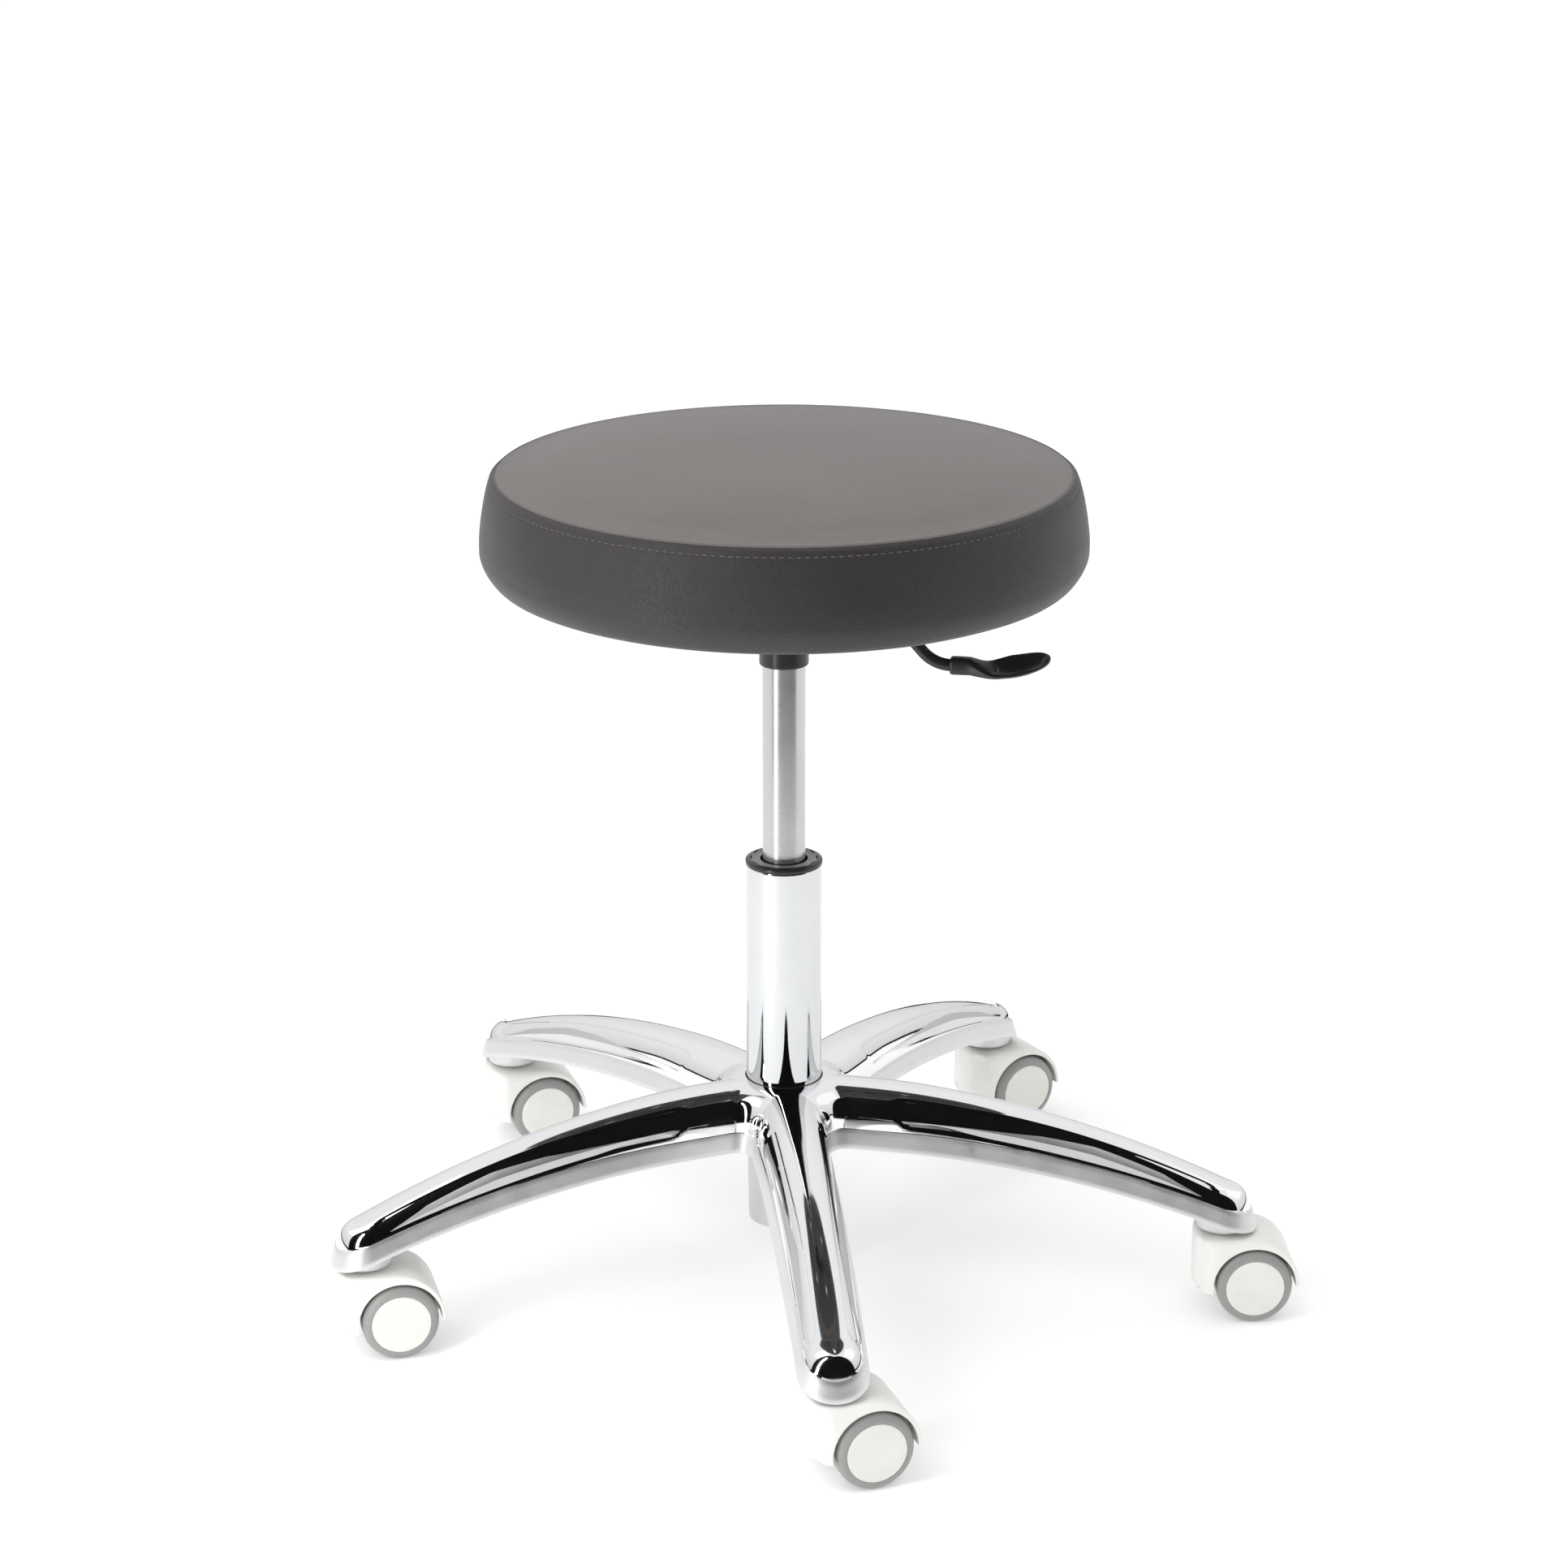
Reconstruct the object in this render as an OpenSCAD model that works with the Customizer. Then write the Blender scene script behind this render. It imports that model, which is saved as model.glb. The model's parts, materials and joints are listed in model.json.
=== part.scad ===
// Round upholstered swivel stool on a gas lift and a five-arm cast base with twin-wheel casters.
// Millimetres, +Z up. The origin is on the floor, on the swivel axis.
// The lift stands fully raised, and the lever points towards +X.

/* [Cushion] */
// Diameter at the widest place of the cushion
seat_d = 387; // [320:1:460]
// Distance of the top panel's seam inside the widest place
seam_inset = 10; // [4:0.5:20]
// Distance of the underside's edge inside the widest place
base_inset = 20.5; // [8:0.5:30]
// Height of the cushion's side, from the underside to the seam
side_h = 68; // [50:1:100]
// Height of the widest place above the underside
bulge_h = 19; // [12:1:40]
// Height of the crown above the seam
crown_h = 13; // [4:1:30]
// Diameter of the flat middle of the crown
crown_flat_d = 90; // [40:1:160]
// Thickness of the cover
cover_t = 1.5; // [0.8:0.1:3]
// Radius of the welt on the seam
welt_r = 1.6; // [1:0.1:3]
// Thickness of the plywood board
board_t = 12; // [9:0.5:20]
// Gap between the board's edge and the side cover
board_edge_gap = 2; // [1:0.5:6]
// Width of the cover's turned-in hem under the board
hem_w = 22; // [12:1:40]

/* [Lift] */
// Travel of the lift
stroke = 120; // [60:1:150]
// Outer diameter of the outer column
col_d = 50; // [50:0.5:56]
// Wall of the outer column
col_wall = 2; // [1.5:0.1:3]
// Length of the outer column
col_len = 252; // [225:1:300]
// Length of the column's tapered end, held in the base
taper_len = 102; // [90:1:110]
// Difference in diameter over the column's tapered end
col_taper = 2.4; // [1.5:0.1:3.5]
// Thickness of the cap ring on the column
cap_h = 4; // [3:0.5:8]
// Gap left between the cap and the socket when the lift is down
closed_gap = 12; // [6:1:30]
// Outer diameter of the pressure tube
tube_d = 28; // [24:0.5:30]
// Wall of the pressure tube
tube_wall = 1.5; // [1.2:0.1:2.5]
// Diameter of the piston rod
rod_d = 10; // [8:0.5:12]
// Length of the tube below the top of the guide bush, with the lift raised
tube_hidden = 100; // [80:1:105]
// Length of the guide bush
bush_len = 78; // [50:1:90]
// Radial running clearance of shafts and sleeves
run_gap = 0.05; // [0.02:0.01:0.1]

/* [Mechanism] */
// Wall of the socket that grips the tube
socket_wall = 2; // [1.8:0.1:4]
// Depth of the socket's lower end below the cushion
socket_drop = 59; // [54:1:70]
// Width of the square mounting plate
plate_w = 150; // [120:1:200]
// Thickness of the mounting plate
plate_t = 3; // [2:0.5:5]
// Spacing of the mounting screws
screw_pitch = 120; // [100:1:150]
// Diameter of the mounting screws
screw_d = 6; // [5:1:8]
// Diameter of the lever's rod
lever_d = 8; // [6:0.5:10]
// Distance of the lever's pivot from the swivel axis
pivot_x = 22; // [18:1:30]
// Depth of the lever's pivot below the cushion
pivot_drop = 15.5; // [14:0.5:18]
// Drop of the lever's handle below its pivot
lever_drop = 39; // [30:1:50]
// Distance of the handle's tip from the swivel axis
lever_reach = 172; // [150:1:200]
// Direction of the lever, in degrees from +X
lever_turn = -10; // [-40:1:40]

/* [Base] */
// Distance of each caster's stem from the swivel axis
stem_reach = 295; // [240:1:360]
// Direction of the first arm, in degrees from -Y
arm_turn = 5.8; // [-36:0.1:36]
// Height of the hub's top above the casters' bosses
hub_rise = 80.5; // [70:0.5:90]
// Height of an arm's crest over its boss
tip_rise = 31; // [24:1:36]
// Width of an arm where it leaves the hub
arm_w_hub = 52; // [44:1:56]
// Width of an arm at its tip
arm_w_tip = 44.6; // [40:0.2:52]
// Height of the plain band along an arm's lower edge
band_h = 13; // [8:0.5:18]
// Inward lean of the band on each side
band_lean = 3.5; // [1:0.5:6]
// Depth of an arm at the hub, crest to lower edge
arm_depth = 39; // [32:1:44]
// Wall of the casting
base_wall = 4; // [3:0.5:6]
// Diameter of the boss round each caster's stem
boss_d = 34; // [26:1:40]

/* [Casters] */
// Diameter of the wheels
wheel_d = 50; // [46:1:54]
// Width over both wheels of a caster
caster_w = 54; // [50:1:60]
// Width of the hood's middle web
web_w = 16; // [14:0.5:18]
// Distance from the stem to the axle
trail = 18.7; // [16:0.1:24]
// Height of the hood's top above the wheels
hood_rise = 7.5; // [6.5:0.1:10]
// Gap between hood and boss
boss_gap = 2; // [1.5:0.1:4]
// Diameter of the disc in the wheel's face
disc_d = 38.6; // [30:0.1:42]
// Radius of the tread's outer edge
tread_edge_r = 5; // [2:0.5:5.5]
// Diameter of the stem
stem_d = 11; // [10:0.5:12]
// Length of the stem above the hood
stem_len = 22; // [18:1:24]
// Diameter of the axle
axle_d = 6; // [5:0.5:8]
// Turn of each caster from +X, in degrees
caster_turn = [19, 3, 31, 18, 14];

/* [Hidden] */
$fn = 96;
EPS = 0.01;
arm_count = 5;

// Heights, from the floor up
hood_top = wheel_d + hood_rise;
boss_z = hood_top + boss_gap;
hub_top = boss_z + hub_rise;
col_z = hub_top - taper_len;
col_top = col_z + col_len;
cap_top = col_top + cap_h;
socket_z = cap_top + closed_gap + stroke;
under_z = socket_z + socket_drop;
seam_z = under_z + side_h;
crown_z = seam_z + crown_h;
board_z = under_z + cover_t;
board_top = board_z + board_t;

// Cushion
seam_d = seat_d - 2 * seam_inset;
seat_base_d = seat_d - 2 * base_inset;
board_r = seat_base_d / 2 - cover_t - board_edge_gap;

// Lift
col_end_d = col_d - col_taper;
bush_top = col_top - 6;
tube_z = bush_top - tube_hidden;
button_room = 25;
tube_top = under_z - button_room;
tube_r = tube_d / 2;
tube_in_r = tube_r - tube_wall;
col_in_r = col_d / 2 - col_wall;
floor_t = 3;
race_t = 2;
ball_d = 5;
ball_count = 10;
ball_gap = 0.3;
race_r = 13;
race_z = col_z + floor_t;
upper_race_z = race_z + race_t + ball_d + ball_gap;
buffer_z = upper_race_z + race_t;
buffer_h = tube_z - stroke - 3 - buffer_z;
piston_h = 12;
seal_h = 12;
piston_z = tube_z + seal_h + 3;
valve_h = 18;
button_d = 7;
button_up = 4.7;
pivot_z = under_z - pivot_drop;
grip_taper = 1;

// Mechanism
socket_d = tube_d + 2 * socket_wall;
housing_w = socket_d + 8;
housing_t = 2.5;
housing_in = -34;
housing_out = 44;
housing_z = tube_top - 5;
plate_z = under_z - plate_t;
pin_d = 4;
head_h = 3;
nut_h = 8;
nut_r = 9;
nut_wall = 1.2;
lever_bend_r = 24;
lever_slope = 48;
lever_in = -6;
rod_sides = 32;
bend_steps = 8;
handle_len = 64;
handle_w = 28;
handle_t = 11.5;
paddle_t = 4.5;
socket_end = 0.24;
handle_sides = 24;
handle_steps = 20;
handle_grip = 13;
handle_in = lever_reach - handle_len;

// Base
crest_start = 45;
lip_start = 70;
crest_top = hub_top + 0.5;
lip_top = crest_top - arm_depth;
hub_r = col_d / 2 + 22;
seam_chamfer = 0.8;
tip_r = arm_w_tip / 2;
crest_end = boss_z + tip_rise;
lip_end = boss_z - 0.5;
arm_in = col_d / 2 + 13;
arm_steps = 12;
crown_steps = 10;
channel_in = hub_r + 7;
channel_out = stem_reach - boss_d / 2 - 4;
channel_steps = 8;

// Casters
wheel_r = wheel_d / 2;
wheel_in = web_w / 2 + 1;
wheel_out = caster_w / 2;
disc_r = disc_d / 2;
well_gap = 3;
well_r = wheel_r + well_gap;
hood_half = caster_w / 2 - 2;
hood_back = 18.6;
hood_low = wheel_r - 5;
fender_t = 2.3;
hood_r = hood_top - wheel_r;
fender_x = trail + well_r + fender_t - hood_r;
stem_low_d = 9;
stem_low = wheel_r + 5;
ring_h = 7;
ring_z = boss_z + stem_len - 12;
axle_half = wheel_out - 4;

CASTER_IDS = ["1", "2", "3", "4", "5"];
CASTER_PARTS = ["hood", "axle", "core_a", "core_b", "tread_a", "tread_b"];
CASTER_NODES = [for (id = CASTER_IDS, part = CASTER_PARTS) str("caster_", id, "_", part)];

// ---- helpers ----

// Radius of an arc that falls by a height over a run, and its fall at a distance x from its top
function arc_radius(run, fall) = (run * run + fall * fall) / (2 * fall);
function arc_fall(x, r) = x <= 0 ? 0 : r - sqrt(r * r - x * x);
function crest_h(r) = crest_top
    - arc_fall(r - crest_start, arc_radius(stem_reach - crest_start, crest_top - crest_end));
function lip_h(r) = lip_top
    - arc_fall(r - lip_start, arc_radius(stem_reach + tip_r - lip_start, lip_top - lip_end));
function arm_half(r) = (arm_w_hub + (arm_w_tip - arm_w_hub) * (r - arm_in) / (stem_reach - arm_in)) / 2;
function arm_angle(i) = -90 + arm_turn + i * 360 / arm_count;

// Ring between two radii
module ring(r_out, r_in, h) {
    difference() {
        cylinder(r = r_out, h = h);
        translate([0, 0, -1]) cylinder(r = r_in, h = h + 2);
    }
}

// Closed solid through a list of sections with equal point counts
module loft(sections) {
    n = len(sections[0]);
    m = len(sections);
    points = [for (s = sections) for (p = s) p];
    sides = [for (j = [0:m - 2]) for (i = [0:n - 1])
        let (a = j * n + i, b = j * n + (i + 1) % n)
        each [[a, b + n, b], [a, a + n, b + n]]];
    first = [[for (i = [0:n - 1]) i]];
    last = [[for (i = [n - 1:-1:0]) (m - 1) * n + i]];
    polyhedron(points = points, faces = concat(sides, first, last), convexity = 6);
}

module at_arms() {
    for (i = [0:arm_count - 1]) rotate([0, 0, arm_angle(i)]) children();
}

module at_stems() {
    at_arms() translate([stem_reach, 0, 0]) children();
}

// ---- base ----

// Section across an arm: band, domed crown, band
function arm_section(r) =
    let (half = arm_half(r), top_half = half - band_lean, low = lip_h(r), mid = low + band_h)
    concat(
        [[r, half, low]],
        [for (k = [0:crown_steps])
            let (a = 180 * k / crown_steps)
            [r, top_half * cos(a), mid + (crest_h(r) - mid) * sin(a)]],
        [[r, -half, low]]);

// Section of the hollow under an arm
function channel_section(r) =
    let (half = arm_half(r) - base_wall, low = lip_h(r), mid = low + band_h)
    [[r, half, low - 1], [r, half - band_lean, mid],
     [r, (half - band_lean) / 2, crest_h(r) - base_wall - 3],
     [r, -(half - band_lean) / 2, crest_h(r) - base_wall - 3],
     [r, -(half - band_lean), mid], [r, -half, low - 1]];

module arm() {
    loft([for (k = [0:arm_steps]) arm_section(arm_in + (stem_reach - arm_in) * k / arm_steps)]);
}

module arm_channel() {
    loft([for (k = [0:channel_steps])
        channel_section(channel_in + (channel_out - channel_in) * k / channel_steps)]);
}

// Round end of an arm, with the stem boss under it
module arm_tip() {
    top = crest_h(stem_reach);
    shoulder = lip_h(stem_reach + tip_r) + band_h;
    dome_r = tip_r - band_lean;
    dome = [for (a = [0:10:90]) [dome_r * cos(a), shoulder + (top - shoulder) * sin(a)]];
    rotate_extrude()
        polygon(concat([[0, boss_z + 4], [tip_r, lip_h(stem_reach + tip_r)]], dome));
    translate([0, 0, boss_z]) cylinder(r = boss_d / 2, h = 12);
}

module hub() {
    shoulder = crest_top - arm_depth + 26;
    rotate_extrude()
        polygon(concat(
            [[0, lip_top - 8], [col_d / 2 + base_wall + 2, lip_top - 8],
             [col_d / 2 + base_wall + 2, lip_top - 0.5], [hub_r, lip_top - 0.5]],
            [for (a = [0:15:90])
                [col_d / 2 + 3 + (hub_r - col_d / 2 - 3) * cos(a), shoulder + (hub_top - shoulder) * sin(a)]],
            [[0, hub_top]]));
}

// Taper bore for the column, matched to the column's own taper
module taper_cut() {
    fall = hub_top - lip_top + 12;
    low_r = col_d / 2 - (col_d - col_end_d) / 2 * fall / taper_len;
    translate([0, 0, hub_top - fall]) cylinder(r1 = low_r, r2 = col_d / 2, h = fall);
    translate([0, 0, hub_top - seam_chamfer])
        cylinder(r1 = col_d / 2, r2 = col_d / 2 + seam_chamfer, h = seam_chamfer + EPS);
    translate([0, 0, hub_top - EPS]) cylinder(r = col_d / 2 + seam_chamfer, h = 5);
}

module base_casting() {
    color([0.78, 0.79, 0.8]) difference() {
        union() {
            hub();
            difference() {
                at_arms() arm();
                at_arms() arm_channel();
            }
            at_stems() arm_tip();
        }
        taper_cut();
        at_stems() translate([0, 0, boss_z - 1]) cylinder(r = stem_d / 2, h = stem_len + 2);
    }
}

// ---- gas lift ----

module outer_column() {
    color([0.82, 0.83, 0.85]) difference() {
        union() {
            translate([0, 0, col_z]) cylinder(r1 = col_end_d / 2, r2 = col_d / 2, h = taper_len);
            translate([0, 0, hub_top]) cylinder(r = col_d / 2, h = col_len - taper_len);
        }
        translate([0, 0, race_z]) cylinder(r = col_end_d / 2 - col_wall, h = taper_len);
        translate([0, 0, hub_top - 8]) cylinder(r = col_in_r, h = col_len);
        translate([0, 0, col_z - 1]) cylinder(r = rod_d / 2 + run_gap, h = floor_t + 2);
    }
}

module column_cap() {
    rim = 1;
    hole_r = tube_r + 1.5;
    slot_n = 12;
    color([0.12, 0.12, 0.12]) difference() {
        union() {
            rotate_extrude()
                polygon([[hole_r, col_top], [col_d / 2 + 0.3, col_top],
                         [col_d / 2 + 0.3, cap_top - rim], [col_d / 2 + 0.3 - rim, cap_top],
                         [hole_r, cap_top]]);
            translate([0, 0, bush_top]) ring(col_in_r, tube_r + 1.5, col_top - bush_top);
        }
        for (i = [0:slot_n - 1])
            rotate([0, 0, i * 360 / slot_n])
                translate([col_in_r - 2.2, -3.2, cap_top - 1]) cube([1.2, 6.4, 2]);
    }
}

module guide_bush() {
    color([0.85, 0.85, 0.8])
        translate([0, 0, bush_top - bush_len]) ring(col_in_r, tube_r + run_gap, bush_len);
}

module bearing_lower_race() {
    color([0.6, 0.6, 0.62]) translate([0, 0, race_z]) ring(race_r, rod_d / 2 + 0.5, race_t);
}

module bearing_balls() {
    color([0.7, 0.7, 0.72])
        for (i = [0:ball_count - 1])
            rotate([0, 0, i * 360 / ball_count])
                translate([race_r - 4, 0, race_z + race_t + ball_d / 2]) sphere(d = ball_d);
}

module bearing_upper_race() {
    color([0.6, 0.6, 0.62]) translate([0, 0, upper_race_z]) ring(race_r, rod_d / 2, race_t);
}

module rod_clip() {
    color([0.3, 0.3, 0.32])
        translate([0, 0, col_z - ball_gap - 1.5]) difference() {
            ring(rod_d / 2 + 4, rod_d / 2, 1.5);
            translate([0, -1.5, -1]) cube([rod_d, 3, 4]);
        }
}

module piston_rod() {
    color([0.75, 0.76, 0.78])
        translate([0, 0, col_z - 4]) cylinder(r = rod_d / 2, h = piston_z - col_z + 4);
}

module piston() {
    color([0.25, 0.25, 0.25]) translate([0, 0, piston_z]) cylinder(r = tube_in_r - run_gap, h = piston_h);
}

module buffer() {
    color([0.1, 0.1, 0.1]) translate([0, 0, buffer_z]) ring(rod_d / 2 + 5, rod_d / 2, buffer_h);
}

// Tube with a slightly tapered upper end that the socket grips
module pressure_tube() {
    grip_z = socket_z + 2;
    color([0.72, 0.73, 0.74]) difference() {
        union() {
            translate([0, 0, tube_z]) cylinder(r = tube_r, h = grip_z - tube_z);
            translate([0, 0, grip_z]) cylinder(r1 = tube_r, r2 = tube_r - grip_taper, h = tube_top - grip_z);
        }
        translate([0, 0, tube_z - 1])
            cylinder(r = tube_in_r - grip_taper, h = tube_top - tube_z - 2);
        translate([0, 0, tube_z - 1]) cylinder(r = tube_in_r, h = socket_z - tube_z);
        translate([0, 0, tube_top - 5]) cylinder(r = button_d / 2 + run_gap, h = 10);
    }
}

module rod_seal() {
    color([0.2, 0.2, 0.2]) translate([0, 0, tube_z]) ring(tube_in_r, rod_d / 2 + run_gap, seal_h);
}

module valve_body() {
    color([0.65, 0.6, 0.45])
        translate([0, 0, tube_top - 3 - valve_h]) ring(tube_in_r - grip_taper, button_d / 2 + run_gap, valve_h);
}

module valve_button() {
    color([0.2, 0.2, 0.2])
        translate([0, 0, tube_top - 14]) cylinder(r = button_d / 2, h = 14 + button_up);
}

// ---- seat mechanism ----

module taper_socket() {
    color([0.08, 0.08, 0.08]) difference() {
        translate([0, 0, socket_z]) cylinder(r = socket_d / 2, h = housing_z + housing_t - socket_z);
        translate([0, 0, socket_z - 1]) cylinder(r = tube_r, h = 3);
        translate([0, 0, socket_z + 2])
            cylinder(r1 = tube_r, r2 = tube_r - grip_taper, h = tube_top - socket_z - 2);
    }
}

// Pressed plate with a box under it that carries the socket and the lever's pivot
module mechanism_housing() {
    wall_h = plate_z - housing_z;
    color([0.1, 0.1, 0.1]) rotate([0, 0, lever_turn]) difference() {
        union() {
            translate([-plate_w / 2, -plate_w / 2, plate_z]) cube([plate_w, plate_w, plate_t]);
            translate([housing_in, -housing_w / 2, housing_z])
                cube([housing_out - housing_in, housing_w, wall_h + EPS]);
        }
        translate([housing_in + housing_t, -housing_w / 2 + housing_t, housing_z + housing_t])
            cube([housing_out - housing_in, housing_w - 2 * housing_t, wall_h - housing_t]);
        translate([0, 0, housing_z - 1]) cylinder(r = socket_d / 2, h = housing_t + 2);
        at_screws() translate([0, 0, plate_z - 1]) cylinder(r = screw_d / 2 + 0.3, h = plate_t + 2);
        pivot_cylinder(pin_d / 2, housing_w + 2);
    }
}

module pivot_cylinder(r, h) {
    translate([pivot_x, 0, pivot_z]) rotate([90, 0, 0]) cylinder(r = r, h = h, center = true);
}

module at_screws() {
    for (x = [-1, 1], y = [-1, 1]) translate([x * screw_pitch / 2, y * screw_pitch / 2, 0]) children();
}

module pivot_pin() {
    color([0.6, 0.6, 0.62]) rotate([0, 0, lever_turn]) pivot_cylinder(pin_d / 2, housing_w + 3);
}

// Circle across the lever's rod at a place on its way, with the slope there
function rod_section(x, z, slope) =
    [for (k = [0:rod_sides - 1])
        let (a = 360 * k / rod_sides)
        [x + lever_d / 2 * sin(a) * sin(slope), lever_d / 2 * cos(a), z + lever_d / 2 * sin(a) * cos(slope)]];

// Rod that leaves the housing level, drops on a slope and ends level in the handle
module lever_path() {
    r = lever_bend_r;
    slope_z = lever_drop - 2 * r * (1 - cos(lever_slope));
    first_x = handle_in - slope_z / tan(lever_slope) - 2 * r * sin(lever_slope);
    bend = [for (k = [0:bend_steps]) lever_slope * k / bend_steps];
    loft(concat(
        [rod_section(lever_in, 0, 0)],
        [for (a = bend) rod_section(first_x + r * sin(a), r * cos(a) - r, a)],
        [for (k = [bend_steps:-1:0]) let (a = bend[k])
            rod_section(handle_in - r * sin(a), r - lever_drop - r * cos(a), a)],
        [rod_section(handle_in + handle_grip, -lever_drop, 0)]));
}

module lever_rod() {
    color([0.07, 0.07, 0.07]) rotate([0, 0, lever_turn]) difference() {
        translate([0, 0, pivot_z]) lever_path();
        pivot_cylinder(pin_d / 2 + run_gap, lever_d + 2);
    }
}

// Shape of the handle: a socket for the rod, then a cupped paddle whose tip rises
function paddle_at(t) = max(0, (t - socket_end) / (1 - socket_end));
function handle_half(t) =
    let (u = paddle_at(t), socket_half = handle_t / 2)
    socket_half + (handle_w / 2 - socket_half) * sin(90 * min(1, 2.2 * u)) * sqrt(max(0.02, 1 - pow(u, 5)));
function handle_lift(t) = let (u = paddle_at(t)) 7 * u * u - 3.5 * sin(180 * u);
function handle_thick(t) = handle_t - (handle_t - paddle_t) * sin(90 * min(1, 1.6 * paddle_at(t)));

function handle_section(t) =
    let (half = handle_half(t), thick = handle_thick(t), rim = 3 * paddle_at(t))
    [for (k = [0:handle_sides - 1])
        let (a = 360 * k / handle_sides)
        [handle_in + handle_len * t, half * cos(a),
         handle_lift(t) + thick / 2 * sin(a) + rim * pow(cos(a), 2)]];

module lever_handle() {
    color([0.06, 0.06, 0.06]) rotate([0, 0, lever_turn]) translate([0, 0, pivot_z - lever_drop]) difference() {
        loft([for (k = [0:handle_steps]) handle_section(k / handle_steps)]);
        translate([handle_in - 1, 0, 0]) rotate([0, 90, 0]) cylinder(d = lever_d, h = handle_grip + 1);
    }
}

module mount_screws() {
    color([0.5, 0.5, 0.52]) rotate([0, 0, lever_turn]) at_screws() {
        translate([0, 0, plate_z - head_h]) cylinder(d = screw_d * 2, h = head_h);
        translate([0, 0, plate_z - EPS]) cylinder(d = screw_d, h = board_top - 2 - plate_z);
    }
}

module t_nuts() {
    color([0.6, 0.6, 0.6]) rotate([0, 0, lever_turn]) at_screws()
        translate([0, 0, board_top - nut_h]) {
            ring(screw_d / 2 + nut_wall, screw_d / 2, nut_h);
            translate([0, 0, nut_h - 1]) ring(nut_r, screw_d / 2, 1);
        }
}

// ---- cushion ----

module seat_board() {
    color([0.76, 0.62, 0.42]) rotate([0, 0, lever_turn]) difference() {
        translate([0, 0, board_z]) cylinder(r = board_r, h = board_t);
        at_screws() {
            translate([0, 0, board_z - 1]) cylinder(r = screw_d / 2 + nut_wall, h = board_t + 2);
            translate([0, 0, board_top - 1]) cylinder(r = nut_r, h = 2);
        }
    }
}

module bottom_cloth() {
    color([0.08, 0.08, 0.08]) rotate([0, 0, lever_turn]) difference() {
        translate([0, 0, under_z]) cylinder(r = seat_base_d / 2 - hem_w, h = cover_t);
        at_screws() translate([0, 0, under_z - 1]) cylinder(r = screw_d / 2 + 0.3, h = cover_t + 2);
    }
}

// Side of the cushion from its underside to the seam, moved inwards by t
function side_outline(t) = concat(
    [for (a = [0:10:80])
        [seat_base_d / 2 + (seat_d - seat_base_d) / 2 * pow(sin(a), 1.15) - t,
         under_z + bulge_h * (1 - pow(cos(a), 1.15)) + t * cos(a)]],
    [for (a = [0:10:90])
        [seam_d / 2 + (seat_d - seam_d) / 2 * cos(a) - t, under_z + bulge_h + (side_h - bulge_h) * pow(sin(a), 1.1)]]);

// Crown from the seam to the flat middle, lowered by t
function crown_outline(t) = [for (k = [0:12])
    let (u = k / 12)
    [seam_d / 2 + (crown_flat_d / 2 - seam_d / 2) * u - t * (1 - u),
     seam_z + crown_h * (1 - pow(1 - u, 2)) - t]];

module cover_side() {
    outer = side_outline(0);
    inner = side_outline(cover_t);
    hem_r = seat_base_d / 2 - hem_w;
    color([0.24, 0.23, 0.23]) difference() {
        rotate_extrude() polygon(concat([[hem_r, under_z]], outer,
            [for (k = [len(inner) - 1:-1:0]) inner[k]], [[hem_r, under_z + cover_t]]));
        translate([0, 0, seam_z - welt_r]) cylinder(r = seat_d, h = 10);
    }
}

module cover_top() {
    outer = crown_outline(0);
    inner = crown_outline(cover_t);
    color([0.27, 0.26, 0.26]) intersection() {
        rotate_extrude() polygon(concat(outer, [[0, crown_z], [0, crown_z - cover_t]],
            [for (k = [len(inner) - 1:-1:0]) inner[k]]));
        translate([0, 0, seam_z - cover_t]) cylinder(r = seam_d / 2 - welt_r, h = crown_h + 5);
    }
}

module cover_welt() {
    color([0.2, 0.19, 0.19])
        translate([0, 0, seam_z]) rotate_extrude() translate([seam_d / 2, 0]) circle(r = welt_r);
}

module seat_foam() {
    gap = cover_t + 0.2;
    side = side_outline(gap);
    crown = crown_outline(gap);
    color([0.9, 0.86, 0.7]) difference() {
        rotate_extrude() polygon(concat(
            [[0, board_z + 0.2], [side[0][0], board_z + 0.2]],
            [for (p = side) if (p[1] > board_z + 0.4 && p[1] < seam_z - 3) p],
            [for (p = crown) if (p[0] < seam_d / 2 - 3) p],
            [[0, crown_z - gap]]));
        translate([0, 0, board_z - 1]) cylinder(r = board_r + 0.2, h = board_t + 1.2);
    }
}

// ---- casters ----

module caster_stems() {
    color([0.65, 0.66, 0.68]) at_stems() difference() {
        union() {
            translate([0, 0, stem_low]) cylinder(d = stem_low_d, h = boss_z - stem_low);
            translate([0, 0, boss_z - boss_gap + 0.3]) cylinder(d = stem_low_d * 2, h = boss_gap - 0.3);
            translate([0, 0, boss_z]) cylinder(d = stem_d - 0.2, h = stem_len);
        }
        translate([0, 0, ring_z]) ring(stem_d, stem_d / 2 - 1.1, ring_h);
    }
}

module stem_grip_rings() {
    color([0.55, 0.55, 0.57]) at_stems() translate([0, 0, ring_z + 0.2]) difference() {
        ring(stem_d / 2, stem_d / 2 - 1.1, ring_h - 0.4);
        translate([0, -1, -1]) cube([stem_d, 2, ring_h + 2]);
    }
}

// Places a caster's parts at stem number i, trailing along its own +X
module at_caster(i) {
    a = arm_angle(i);
    translate([stem_reach * cos(a), stem_reach * sin(a), 0]) rotate([0, 0, caster_turn[i]]) children();
}

module across(half) {
    rotate([90, 0, 0]) translate([0, 0, -half]) linear_extrude(height = 2 * half) children();
}

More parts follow.
